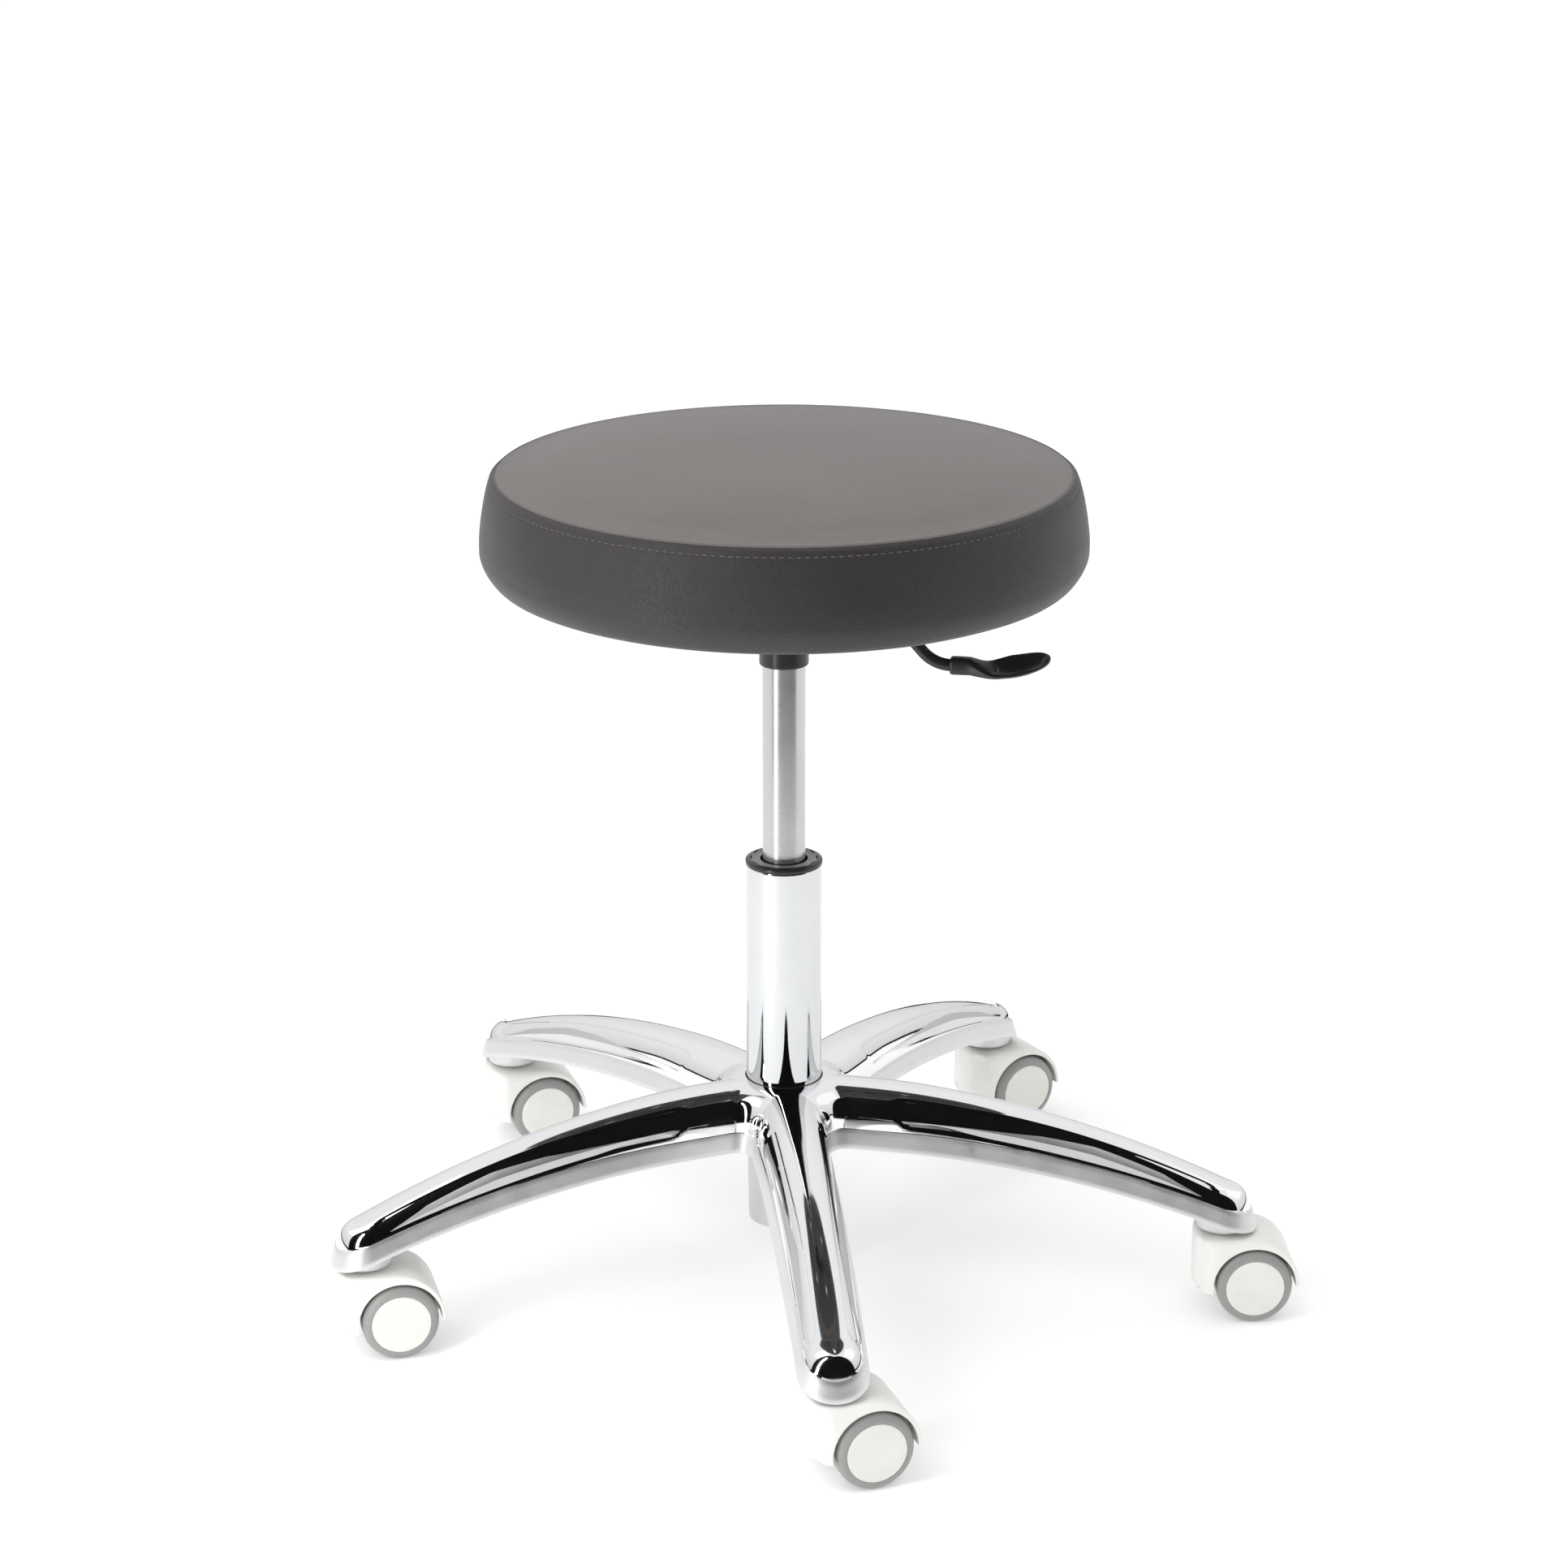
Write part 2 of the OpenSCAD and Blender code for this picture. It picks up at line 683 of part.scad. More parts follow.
module hood_side() {
    corner = 4;
    intersection() {
        union() {
            translate([fender_x, wheel_r]) circle(r = hood_r);
            translate([-hood_back, hood_low]) square([hood_back + fender_x, hood_top - hood_low - corner]);
            translate([corner - hood_back, hood_low]) square([hood_back + fender_x - corner, hood_top - hood_low]);
            translate([corner - hood_back, hood_top - corner]) circle(r = corner);
        }
        union() {
            translate([-hood_back, hood_low]) square([hood_back + trail - 8, hood_top]);
            translate([0, wheel_r]) square([2 * hood_r + hood_back, hood_top]);
        }
    }
}

module caster_hood(i) {
    nose_r = 52;
    color([0.93, 0.92, 0.89]) at_caster(i) difference() {
        union() {
            intersection() {
                across(hood_half) hood_side();
                translate([nose_r - hood_back, 0, 0]) cylinder(r = nose_r, h = hood_top + 1);
            }
            across(web_w / 2) translate([trail, wheel_r]) circle(r = wheel_r - 4);
        }
        for (s = [-1, 1])
            translate([trail, s * (web_w / 2 + hood_half), wheel_r]) rotate([90, 0, 0])
                cylinder(r = well_r, h = 2 * hood_half, center = true);
        translate([trail, 0, wheel_r]) rotate([90, 0, 0]) cylinder(d = axle_d, h = caster_w, center = true);
        translate([0, 0, stem_low - 1]) cylinder(r = stem_low_d / 2 + run_gap, h = hood_top);
    }
}

module caster_axle(i) {
    color([0.6, 0.6, 0.62]) at_caster(i) translate([trail, 0, wheel_r]) rotate([90, 0, 0])
        cylinder(d = axle_d, h = 2 * axle_half, center = true);
}

// Places a wheel's own axis, outwards on side s
module at_wheel(i, s) {
    at_caster(i) translate([trail, 0, wheel_r]) rotate([s * 90, 0, 0]) children();
}

module wheel_core(i, s) {
    bore = axle_d / 2 + run_gap;
    hub = axle_d / 2 + 4;
    color([0.9, 0.89, 0.86]) at_wheel(i, s) rotate_extrude()
        polygon([[bore, wheel_in], [hub, wheel_in], [hub, wheel_out - 5], [disc_r - 2.5, wheel_out - 5],
                 [disc_r - 2.5, wheel_in], [disc_r, wheel_in], [disc_r, wheel_out],
                 [0, wheel_out], [0, axle_half + 0.5], [bore, axle_half + 0.5]]);
}

module wheel_tread(i, s) {
    inner_edge = 2;
    e = tread_edge_r;
    color([0.6, 0.61, 0.6]) at_wheel(i, s) rotate_extrude()
        polygon(concat(
            [[disc_r, wheel_in], [wheel_r - inner_edge, wheel_in], [wheel_r, wheel_in + inner_edge]],
            [for (a = [0:15:90]) [wheel_r - e + e * cos(a), wheel_out - 0.4 - e + e * sin(a)]],
            [[disc_r, wheel_out - 0.4]]));
}

module caster_part(i, part) {
    if (part == "hood") caster_hood(i);
    if (part == "axle") caster_axle(i);
    if (part == "core_a") wheel_core(i, 1);
    if (part == "core_b") wheel_core(i, -1);
    if (part == "tread_a") wheel_tread(i, 1);
    if (part == "tread_b") wheel_tread(i, -1);
}

base_casting();
outer_column();
column_cap();
guide_bush();
bearing_lower_race();
bearing_balls();
bearing_upper_race();
rod_clip();
piston_rod();
piston();
buffer();
pressure_tube();
rod_seal();
valve_body();
valve_button();
taper_socket();
mechanism_housing();
pivot_pin();
lever_rod();
lever_handle();
mount_screws();
t_nuts();
seat_board();
bottom_cloth();
seat_foam();
cover_side();
cover_top();
cover_welt();
caster_stems();
stem_grip_rings();
for (i = [0:arm_count - 1], part = CASTER_PARTS)
    caster_part(i, part);
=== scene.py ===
import bpy
import bmesh
import json
import math
import random
from mathutils import Matrix, Vector, noise
from mathutils.bvhtree import BVHTree

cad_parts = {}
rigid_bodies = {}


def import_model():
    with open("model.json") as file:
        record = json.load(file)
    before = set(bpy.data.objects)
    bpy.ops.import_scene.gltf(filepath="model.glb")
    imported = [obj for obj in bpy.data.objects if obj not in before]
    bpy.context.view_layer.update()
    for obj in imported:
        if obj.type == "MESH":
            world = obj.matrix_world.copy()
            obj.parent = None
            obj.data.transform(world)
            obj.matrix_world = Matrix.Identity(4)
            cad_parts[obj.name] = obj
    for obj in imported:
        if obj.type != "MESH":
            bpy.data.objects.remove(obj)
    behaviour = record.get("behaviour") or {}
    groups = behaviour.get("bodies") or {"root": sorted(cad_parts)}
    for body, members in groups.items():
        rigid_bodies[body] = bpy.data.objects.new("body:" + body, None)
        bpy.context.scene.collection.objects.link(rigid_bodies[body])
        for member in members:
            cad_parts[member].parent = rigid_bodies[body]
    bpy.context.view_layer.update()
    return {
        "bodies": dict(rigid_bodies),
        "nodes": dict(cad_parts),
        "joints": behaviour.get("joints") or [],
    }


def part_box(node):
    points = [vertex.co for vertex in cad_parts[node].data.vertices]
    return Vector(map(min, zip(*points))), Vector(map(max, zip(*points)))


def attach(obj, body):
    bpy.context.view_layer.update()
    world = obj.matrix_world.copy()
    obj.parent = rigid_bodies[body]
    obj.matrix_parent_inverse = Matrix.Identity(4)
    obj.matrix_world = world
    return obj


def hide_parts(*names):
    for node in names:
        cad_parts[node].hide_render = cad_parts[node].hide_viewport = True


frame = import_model()
mm = 0.001
scene = bpy.context.scene
random.seed(7)

joints = {j["name"]: j for j in frame["joints"]}
casterNames = sorted(b for b in frame["bodies"] if b.startswith("caster_") and "wheel" not in b)
stemSpots = [Vector(joints[c + "_swivel"]["pos_m"]) for c in casterNames]
reach = stemSpots[0].xy.length
armAngles = [math.atan2(p.y, p.x) for p in stemSpots]
leverAxis = Vector(joints["lever_tilt"]["axis"])
leverPivot = Vector(joints["lever_tilt"]["pos_m"])
leverTurn = math.atan2(leverAxis.x, -leverAxis.y)
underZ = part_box("cover_side")[0].z
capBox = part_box("column_cap")
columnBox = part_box("outer_column")
print("frame loaded:", len(frame["nodes"]), "nodes")


view = {"place": (0, -2.452, 1.174), "tilt": 71.30, "lens": 91.5}

cameraData = bpy.data.cameras.new("camera")
cameraData.lens = view["lens"]
cameraData.sensor_width = 36
camera = bpy.data.objects.new("camera", cameraData)
camera.location = view["place"]
camera.rotation_euler = (math.radians(view["tilt"]), 0, 0)
scene.collection.objects.link(camera)
scene.camera = camera
scene.view_settings.view_transform = "Standard"


def addPiece(name, verts, faces, smooth=True, edgeAngle=None):
    mesh = bpy.data.meshes.new(name)
    mesh.from_pydata([tuple(v) for v in verts], [], faces)
    mesh.validate()
    bm = bmesh.new()
    bm.from_mesh(mesh)
    bmesh.ops.remove_doubles(bm, verts=bm.verts, dist=1e-6)
    bmesh.ops.recalc_face_normals(bm, faces=bm.faces)
    bm.to_mesh(mesh)
    bm.free()
    obj = bpy.data.objects.new(name, mesh)
    scene.collection.objects.link(obj)
    for p in mesh.polygons:
        p.use_smooth = smooth
    if edgeAngle:
        mesh.set_sharp_from_angle(angle=math.radians(edgeAngle))
    return obj


def gridFaces(rows, cols, wrap=False, start=0):
    faces = []
    for i in range(rows - 1):
        for j in range(cols if wrap else cols - 1):
            a, b = i * cols + j, i * cols + (j + 1) % cols
            faces.append((start + a, start + b, start + b + cols, start + a + cols))
    return faces


def lathe(name, profile, turns=128, place=None, edgeAngle=32):
    # profile is a list of (radius, height) in metres, turned about Z; long runs get points near their ends
    verts, faces = [], []
    dense = [profile[0]]
    for p, q in zip(profile, profile[1:]):
        run = math.dist(p, q)
        near = 0.0012 / run if run > 0.008 else 0
        for t in ((near, 1 - near) if near else ()):
            dense.append((p[0] + (q[0] - p[0]) * t, p[1] + (q[1] - p[1]) * t))
        dense.append(q)
    profile = dense
    n = len(profile)
    for k in range(turns):
        a = 2 * math.pi * k / turns
        verts += [(r * math.cos(a), r * math.sin(a), z) for r, z in profile]
    for k in range(turns):
        s, t = k * n, (k + 1) % turns * n
        for i in range(n - 1):
            faces.append((s + i, t + i, t + i + 1, s + i + 1))
    if place:
        verts = [place @ Vector(v) for v in verts]
    return addPiece(name, verts, faces, edgeAngle=edgeAngle)


def rounded(corners, radii, steps=4):
    # a polyline with round corners: (r, z) points and one fillet radius for each
    out = []
    for i, (p, rad) in enumerate(zip(corners, radii)):
        p = Vector(p)
        if rad <= 0 or i in (0, len(corners) - 1):
            out.append(tuple(p))
            continue
        u = (Vector(corners[i - 1]) - p).normalized()
        v = (Vector(corners[i + 1]) - p).normalized()
        half = u.angle(v) / 2
        cut = rad / math.tan(half)
        centre = p + (u + v).normalized() * rad / math.sin(half)
        a, b = p + u * cut - centre, p + v * cut - centre
        turn = a.angle_signed(b)
        for k in range(steps + 1):
            c, s = math.cos(-turn * k / steps), math.sin(-turn * k / steps)
            out.append((centre.x + a.x * c - a.y * s, centre.y + a.x * s + a.y * c))
    return out


def scaled(points, f=mm):
    return [tuple(c * f for c in p) for p in points]


def smoothStep(a, b, x):
    t = max(0.0, min(1.0, (x - a) / (b - a)))
    return t * t * (3 - 2 * t)


def finishPiece(obj, body, replaces=(), materials=()):
    for m in materials:
        obj.data.materials.append(m)
    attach(obj, body)
    if replaces:
        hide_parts(*replaces)
    return obj


def newGroup(name, inputs, outputs):
    group = bpy.data.node_groups.new(name, "ShaderNodeTree")
    for label, kind, value in inputs:
        socket = group.interface.new_socket(label, in_out="INPUT", socket_type=kind)
        socket.default_value = value
    for label, kind in outputs:
        group.interface.new_socket(label, in_out="OUTPUT", socket_type=kind)
    return group, group.nodes.new("NodeGroupInput"), group.nodes.new("NodeGroupOutput")


def addNode(tree, kind, links=(), **values):
    node = tree.nodes.new(kind)
    for key, value in values.items():
        if hasattr(node, key):
            setattr(node, key, value)
        else:
            node.inputs[key.replace("_", " ")].default_value = value
    for socket, source in links:
        tree.links.new(source, node.inputs[socket])
    return node


def mathNode(tree, op, a, b=None, clamp=False):
    node = tree.nodes.new("ShaderNodeMath")
    node.operation = op
    node.use_clamp = clamp
    for i, v in enumerate((a, b)):
        if v is None:
            continue
        if isinstance(v, (int, float)):
            node.inputs[i].default_value = v
        else:
            tree.links.new(v, node.inputs[i])
    return node.outputs[0]


def makeSmudges():
    # broad cloudy variation with a few finer streaks, 0 to 1
    g, gin, gout = newGroup("smudges", [("Scale", "NodeSocketFloat", 12.0), ("Detail", "NodeSocketFloat", 4.0)],
                            [("Value", "NodeSocketFloat")])
    coord = addNode(g, "ShaderNodeTexCoord")
    broad = addNode(g, "ShaderNodeTexNoise", [("Vector", coord.outputs["Object"]), ("Scale", gin.outputs["Scale"]),
                                              ("Detail", gin.outputs["Detail"])], Roughness=0.6)
    fineScale = mathNode(g, "MULTIPLY", gin.outputs["Scale"], 7.0)
    fine = addNode(g, "ShaderNodeTexNoise", [("Vector", coord.outputs["Object"]), ("Scale", fineScale)], Detail=3.0)
    mixed = mathNode(g, "ADD", mathNode(g, "MULTIPLY", broad.outputs["Fac"], 0.7),
                     mathNode(g, "MULTIPLY", fine.outputs["Fac"], 0.3))
    g.links.new(mixed, gout.inputs["Value"])
    return g


def makeStipple():
    # fine moulded or powder-coat texture
    g, gin, gout = newGroup("stipple", [("Scale", "NodeSocketFloat", 900.0)],
                            [("Height", "NodeSocketFloat"), ("Mask", "NodeSocketFloat")])
    coord = addNode(g, "ShaderNodeTexCoord")
    cells = addNode(g, "ShaderNodeTexVoronoi", [("Vector", coord.outputs["Object"]), ("Scale", gin.outputs["Scale"])],
                    feature="SMOOTH_F1", Smoothness=0.6)
    haze = addNode(g, "ShaderNodeTexNoise", [("Vector", coord.outputs["Object"])], Scale=60.0, Detail=5.0)
    height = mathNode(g, "ADD", mathNode(g, "MULTIPLY", cells.outputs["Distance"], 0.7),
                      mathNode(g, "MULTIPLY", haze.outputs["Fac"], 0.3))
    g.links.new(height, gout.inputs["Height"])
    g.links.new(haze.outputs["Fac"], gout.inputs["Mask"])
    return g


def makeBrushed():
    # long fine lines along one axis: Stretch is how much each axis is squeezed
    g, gin, gout = newGroup("brushed", [("Scale", "NodeSocketFloat", 40.0),
                                        ("Stretch", "NodeSocketVector", (1, 1, 40))],
                            [("Height", "NodeSocketFloat"), ("Mask", "NodeSocketFloat")])
    coord = addNode(g, "ShaderNodeTexCoord")
    mapping = addNode(g, "ShaderNodeVectorMath",
                      [(0, coord.outputs["Object"]), (1, gin.outputs["Stretch"])], operation="MULTIPLY")
    lines = addNode(g, "ShaderNodeTexNoise", [("Vector", mapping.outputs[0]), ("Scale", gin.outputs["Scale"])],
                    Detail=6.0, Roughness=0.7)
    cloud = addNode(g, "ShaderNodeTexNoise", [("Vector", coord.outputs["Object"])], Scale=35.0, Detail=3.0)
    g.links.new(lines.outputs["Fac"], gout.inputs["Height"])
    g.links.new(cloud.outputs["Fac"], gout.inputs["Mask"])
    return g


def makeLeatherGrain():
    # small irregular pebbles with creases between them
    g, gin, gout = newGroup("leatherGrain", [("Scale", "NodeSocketFloat", 620.0)],
                            [("Height", "NodeSocketFloat"), ("Crease", "NodeSocketFloat"),
                             ("Cloud", "NodeSocketFloat")])
    coord = addNode(g, "ShaderNodeTexCoord")
    bend = addNode(g, "ShaderNodeTexNoise", [("Vector", coord.outputs["Object"])], Scale=90.0, Detail=2.0)
    shifted = addNode(g, "ShaderNodeVectorMath", [(0, bend.outputs["Color"])], operation="SCALE", Scale=0.006)
    vector = addNode(g, "ShaderNodeVectorMath",
                     [(0, coord.outputs["Object"]), (1, shifted.outputs[0])], operation="ADD")
    cells = addNode(g, "ShaderNodeTexVoronoi", [("Vector", vector.outputs[0]), ("Scale", gin.outputs["Scale"])],
                    feature="DISTANCE_TO_EDGE")
    crease = addNode(g, "ShaderNodeMapRange", [("Value", cells.outputs["Distance"])], From_Min=0.0, From_Max=0.16)
    pores = addNode(g, "ShaderNodeTexNoise", [("Vector", coord.outputs["Object"])], Scale=1500.0, Detail=3.0)
    cloud = addNode(g, "ShaderNodeTexNoise", [("Vector", coord.outputs["Object"])], Scale=9.0, Detail=4.0)
    height = mathNode(g, "ADD", mathNode(g, "MULTIPLY", crease.outputs["Result"], 0.75),
                      mathNode(g, "MULTIPLY", pores.outputs["Fac"], 0.25))
    g.links.new(height, gout.inputs["Height"])
    g.links.new(crease.outputs["Result"], gout.inputs["Crease"])
    g.links.new(cloud.outputs["Fac"], gout.inputs["Cloud"])
    return g


smudges = makeSmudges()
stipple = makeStipple()
brushed = makeBrushed()
leatherGrain = makeLeatherGrain()


def startMaterial(name, **fixed):
    mat = bpy.data.materials.new(name)
    mat.use_nodes = True
    tree = mat.node_tree
    shader = tree.nodes["Principled BSDF"]
    for key, value in fixed.items():
        shader.inputs[key.replace("_", " ")].default_value = value
    mat.diffuse_color = shader.inputs["Base Color"].default_value
    return mat, tree, shader


def placeGroup(tree, group, **values):
    node = tree.nodes.new("ShaderNodeGroup")
    node.node_tree = group
    for key, value in values.items():
        node.inputs[key].default_value = value
    return node


def mapTo(tree, source, low, high, fromLow=0.3, fromHigh=0.7):
    node = addNode(tree, "ShaderNodeMapRange", [("Value", source)],
                   From_Min=fromLow, From_Max=fromHigh, To_Min=low, To_Max=high)
    return node.outputs["Result"]


def mixColours(tree, source, first, second, fromLow=0.3, fromHigh=0.7):
    ramp = tree.nodes.new("ShaderNodeValToRGB")
    ramp.color_ramp.elements[0].position = fromLow
    ramp.color_ramp.elements[1].position = fromHigh
    ramp.color_ramp.elements[0].color = (*first, 1)
    ramp.color_ramp.elements[1].color = (*second, 1)
    tree.links.new(source, ramp.inputs["Fac"])
    return ramp.outputs["Color"]


def addBump(tree, shader, height, strength, distance):
    bump = addNode(tree, "ShaderNodeBump", [("Height", height)], Strength=strength, Distance=distance)
    tree.links.new(bump.outputs["Normal"], shader.inputs["Normal"])


def metal(name, colour, rough, roughSpread, cloudScale=14.0, bump=0.0):
    mat, tree, shader = startMaterial(name, Metallic=1.0)
    cloud = placeGroup(tree, smudges, Scale=cloudScale)
    darker = tuple(c * 0.965 for c in colour)
    tree.links.new(mixColours(tree, cloud.outputs["Value"], darker, colour), shader.inputs["Base Color"])
    tree.links.new(mapTo(tree, cloud.outputs["Value"], rough, rough + roughSpread), shader.inputs["Roughness"])
    if bump:
        addBump(tree, shader, cloud.outputs["Value"], bump, 0.0004)
    return mat


def brushedMetal(name, colour, rough, stretch, scale=40.0, strength=0.12):
    mat, tree, shader = startMaterial(name, Metallic=1.0)
    lines = placeGroup(tree, brushed, Scale=scale, Stretch=stretch)
    darker = tuple(c * 0.93 for c in colour)
    tree.links.new(mixColours(tree, lines.outputs["Height"], darker, colour), shader.inputs["Base Color"])
    tree.links.new(mapTo(tree, lines.outputs["Mask"], rough, rough + 0.08), shader.inputs["Roughness"])
    addBump(tree, shader, lines.outputs["Height"], strength, 0.0002)
    return mat


def plastic(name, colour, rough, spread=0.06, scale=900.0, bump=0.1, second=None, coat=0.0):
    mat, tree, shader = startMaterial(name, Coat_Weight=coat, Coat_Roughness=0.15)
    grain = placeGroup(tree, stipple, Scale=scale)
    other = second or tuple(c * 0.93 for c in colour)
    tree.links.new(mixColours(tree, grain.outputs["Mask"], other, colour), shader.inputs["Base Color"])
    tree.links.new(mapTo(tree, grain.outputs["Mask"], rough, rough + spread), shader.inputs["Roughness"])
    addBump(tree, shader, grain.outputs["Height"], bump, 0.0002)
    return mat


def leatherette(name, colour, rough):
    mat, tree, shader = startMaterial(name, IOR=1.5, Specular_IOR_Level=0.42, Sheen_Weight=0.03, Sheen_Roughness=0.45)
    grain = placeGroup(tree, leatherGrain)
    cloud = mixColours(tree, grain.outputs["Cloud"], tuple(c * 0.9 for c in colour), tuple(c * 1.12 for c in colour))
    # the colour is darkened towards half in the grain creases: painted shade
    creaseShade = addNode(tree, "ShaderNodeMix", [(0, mapTo(tree, grain.outputs["Crease"], 0.35, 0.0, 0.0, 1.0)),
                                              (6, cloud)], data_type="RGBA")
    creaseShade.inputs[7].default_value = (*(c * 0.5 for c in colour), 1)
    tree.links.new(creaseShade.outputs[2], shader.inputs["Base Color"])
    tree.links.new(mapTo(tree, grain.outputs["Cloud"], rough, rough + 0.08), shader.inputs["Roughness"])
    addBump(tree, shader, grain.outputs["Height"], 0.5, 0.0003)
    return mat


def heightMix(tree, lowZ, highZ):
    # 0 below lowZ, 1 above highZ, along the object's own Z
    coord = addNode(tree, "ShaderNodeTexCoord")
    parts = addNode(tree, "ShaderNodeSeparateXYZ", [("Vector", coord.outputs["Object"])])
    return addNode(tree, "ShaderNodeMapRange", [("Value", parts.outputs["Z"])],
                   From_Min=lowZ, From_Max=highZ).outputs["Result"]


def columnChrome():
    # mirror plate above, dull ground taper where the column goes through the base
    mat, tree, shader = startMaterial("column_chrome", Metallic=1.0)
    cloud = placeGroup(tree, smudges, Scale=9.0)
    plated = heightMix(tree, 0.128, 0.132)
    rough = addNode(tree, "ShaderNodeMix", [(0, plated), (3, mapTo(tree, cloud.outputs["Value"], 0.035, 0.06))],
                    data_type="FLOAT")
    rough.inputs[2].default_value = 0.36
    tone = addNode(tree, "ShaderNodeMix", [(0, plated), (7, mixColours(tree, cloud.outputs["Value"],
                   (0.655, 0.668, 0.678), (0.70, 0.712, 0.722)))], data_type="RGBA")
    tone.inputs[6].default_value = (0.62, 0.62, 0.62, 1)
    tree.links.new(rough.outputs[0], shader.inputs["Roughness"])
    tree.links.new(tone.outputs[2], shader.inputs["Base Color"])
    return mat


def plywood():
    mat, tree, shader = startMaterial("plywood", Roughness=0.7)
    coord = addNode(tree, "ShaderNodeTexCoord")
    wave = addNode(tree, "ShaderNodeTexWave", [("Vector", coord.outputs["Object"])],
                   Scale=14.0, Distortion=6.0, Detail=3.0)
    tree.links.new(mixColours(tree, wave.outputs["Fac"], (0.42, 0.27, 0.14), (0.66, 0.5, 0.31), 0.0, 1.0),
                   shader.inputs["Base Color"])
    addBump(tree, shader, wave.outputs["Fac"], 0.15, 0.0003)
    return mat


def nonWoven():
    mat, tree, shader = startMaterial("non_woven", Roughness=0.85)
    coord = addNode(tree, "ShaderNodeTexCoord")
    dots = addNode(tree, "ShaderNodeTexVoronoi", [("Vector", coord.outputs["Object"])], Scale=420.0)
    fibres = addNode(tree, "ShaderNodeTexNoise", [("Vector", coord.outputs["Object"])], Scale=300.0, Detail=8.0)
    tree.links.new(mixColours(tree, dots.outputs["Distance"], (0.045, 0.045, 0.045), (0.018, 0.018, 0.018), 0.2, 0.6),
                   shader.inputs["Base Color"])
    addBump(tree, shader, fibres.outputs["Fac"], 0.4, 0.0004)
    return mat


polished = metal("polished_metal", (0.86, 0.865, 0.875), 0.045, 0.04, 10.0)
castBand = metal("cast_band", (0.80, 0.805, 0.81), 0.40, 0.2, 45.0, 0.2)
rawCasting = metal("raw_casting", (0.6, 0.6, 0.61), 0.42, 0.15, 60.0, 0.5)
chromePlate = columnChrome()
groundTube = brushedMetal("ground_tube", (0.58, 0.585, 0.59), 0.24, (1, 1, 0.02), 260.0, 0.004)
zincSteel = metal("zinc_steel", (0.66, 0.66, 0.67), 0.25, 0.12, 60.0, 0.1)
capPlastic = plastic("cap_plastic", (0.022, 0.02, 0.018), 0.22, bump=0.05)
capFace = plastic("cap_face", (0.23, 0.225, 0.22), 0.24, bump=0.08)
blackCoat = plastic("black_coat", (0.018, 0.017, 0.016), 0.3, scale=1400.0, bump=0.15)
handlePlastic = plastic("handle_plastic", (0.022, 0.02, 0.019), 0.33, scale=1600.0, bump=0.12)
# the top panel's leatherette is a lighter copy of the side's: painted sheen standing in for the glossy light on the
# top
coverTopLeatherPaintedSheen = leatherette("cover_top_leather_painted_sheen", (0.14, 0.128, 0.122), 0.37)
coverSideLeather = leatherette("cover_side_leather", (0.034, 0.0295, 0.0298), 0.42)
# the seam cord's leatherette is lighter still: painted highlight along the seam edge
seamEdgeLeatherPaintedHighlight = leatherette("seam_edge_painted_highlight", (0.15, 0.137, 0.13), 0.34)
threadMaterial = plastic("sewing_thread", (0.1, 0.093, 0.09), 0.6, scale=2500.0, bump=0.3)
hoodPlastic = plastic("hood_plastic", (0.86, 0.85, 0.815), 0.4, bump=0.05)
discPlastic = plastic("disc_plastic", (0.80, 0.79, 0.745), 0.42, bump=0.05)
treadRubber = plastic("tread_rubber", (0.30, 0.31, 0.30), 0.28, scale=500.0, bump=0.05)
bushPlastic = plastic("bush_plastic", (0.75, 0.74, 0.68), 0.35)
# near-black brown for the ring where the column meets the hub: painted shadow standing in for the shadow line at the
# joint
seamPaintedShadow = plastic("seam_painted_shadow", (0.030, 0.016, 0.010), 0.45, bump=0.1)
sealRubber = plastic("seal_rubber", (0.03, 0.03, 0.03), 0.6, bump=0.2)
turnedMetal = brushedMetal("turned_metal", (0.62, 0.6, 0.55), 0.3, (1, 1, 60))
boardWood = plywood()
clothMaterial = nonWoven()
print("materials made")


base = {
    "tipRadius": 22.3, "hubHalf": 26.0, "hubStart": 38.0, "fillet": 11.0, "seamRadius": 25.9,
    "crestTop": 140.5, "crestStart": 45.0, "crestEnd": 90.5, "tipFall": 8.0,
    "lipTop": 101.5, "lipStart": 70.0, "lipEnd": 59.0,
    "bandHeight": 13.2, "bandLean": 3.6, "ledge": 0.9, "wall": 4.0, "roll": 2.45, "hubLean": 0.03, "tipLean": 0.26,
    "panelDepth": 0.7, "panelLow": 0.03, "panelHigh": 0.60, "panelIn": 84.0, "panelOut": 292.0,
    "bossRadius": 17.0, "bossZ": 59.5, "bottomZ": 93.5,
}


def arcFall(x, run, fall):
    r = (run * run + fall * fall) / (2 * fall)
    return 0 if x <= 0 else r - math.sqrt(max(0, r * r - x * x))


def crestHeight(x):
    b = base
    return b["crestTop"] - arcFall(x - b["crestStart"], reach / mm - b["crestStart"],
                                   b["crestTop"] - b["crestEnd"])


def lipHeight(x):
    b = base
    run = reach / mm + b["tipRadius"] - b["lipStart"]
    return b["lipTop"] - arcFall(x - b["lipStart"], run, b["lipTop"] - b["lipEnd"])


def armHalf(x):
    b = base
    return b["hubHalf"] + (b["tipRadius"] - b["hubHalf"]) * (x - b["hubStart"]) / (reach / mm - b["hubStart"])


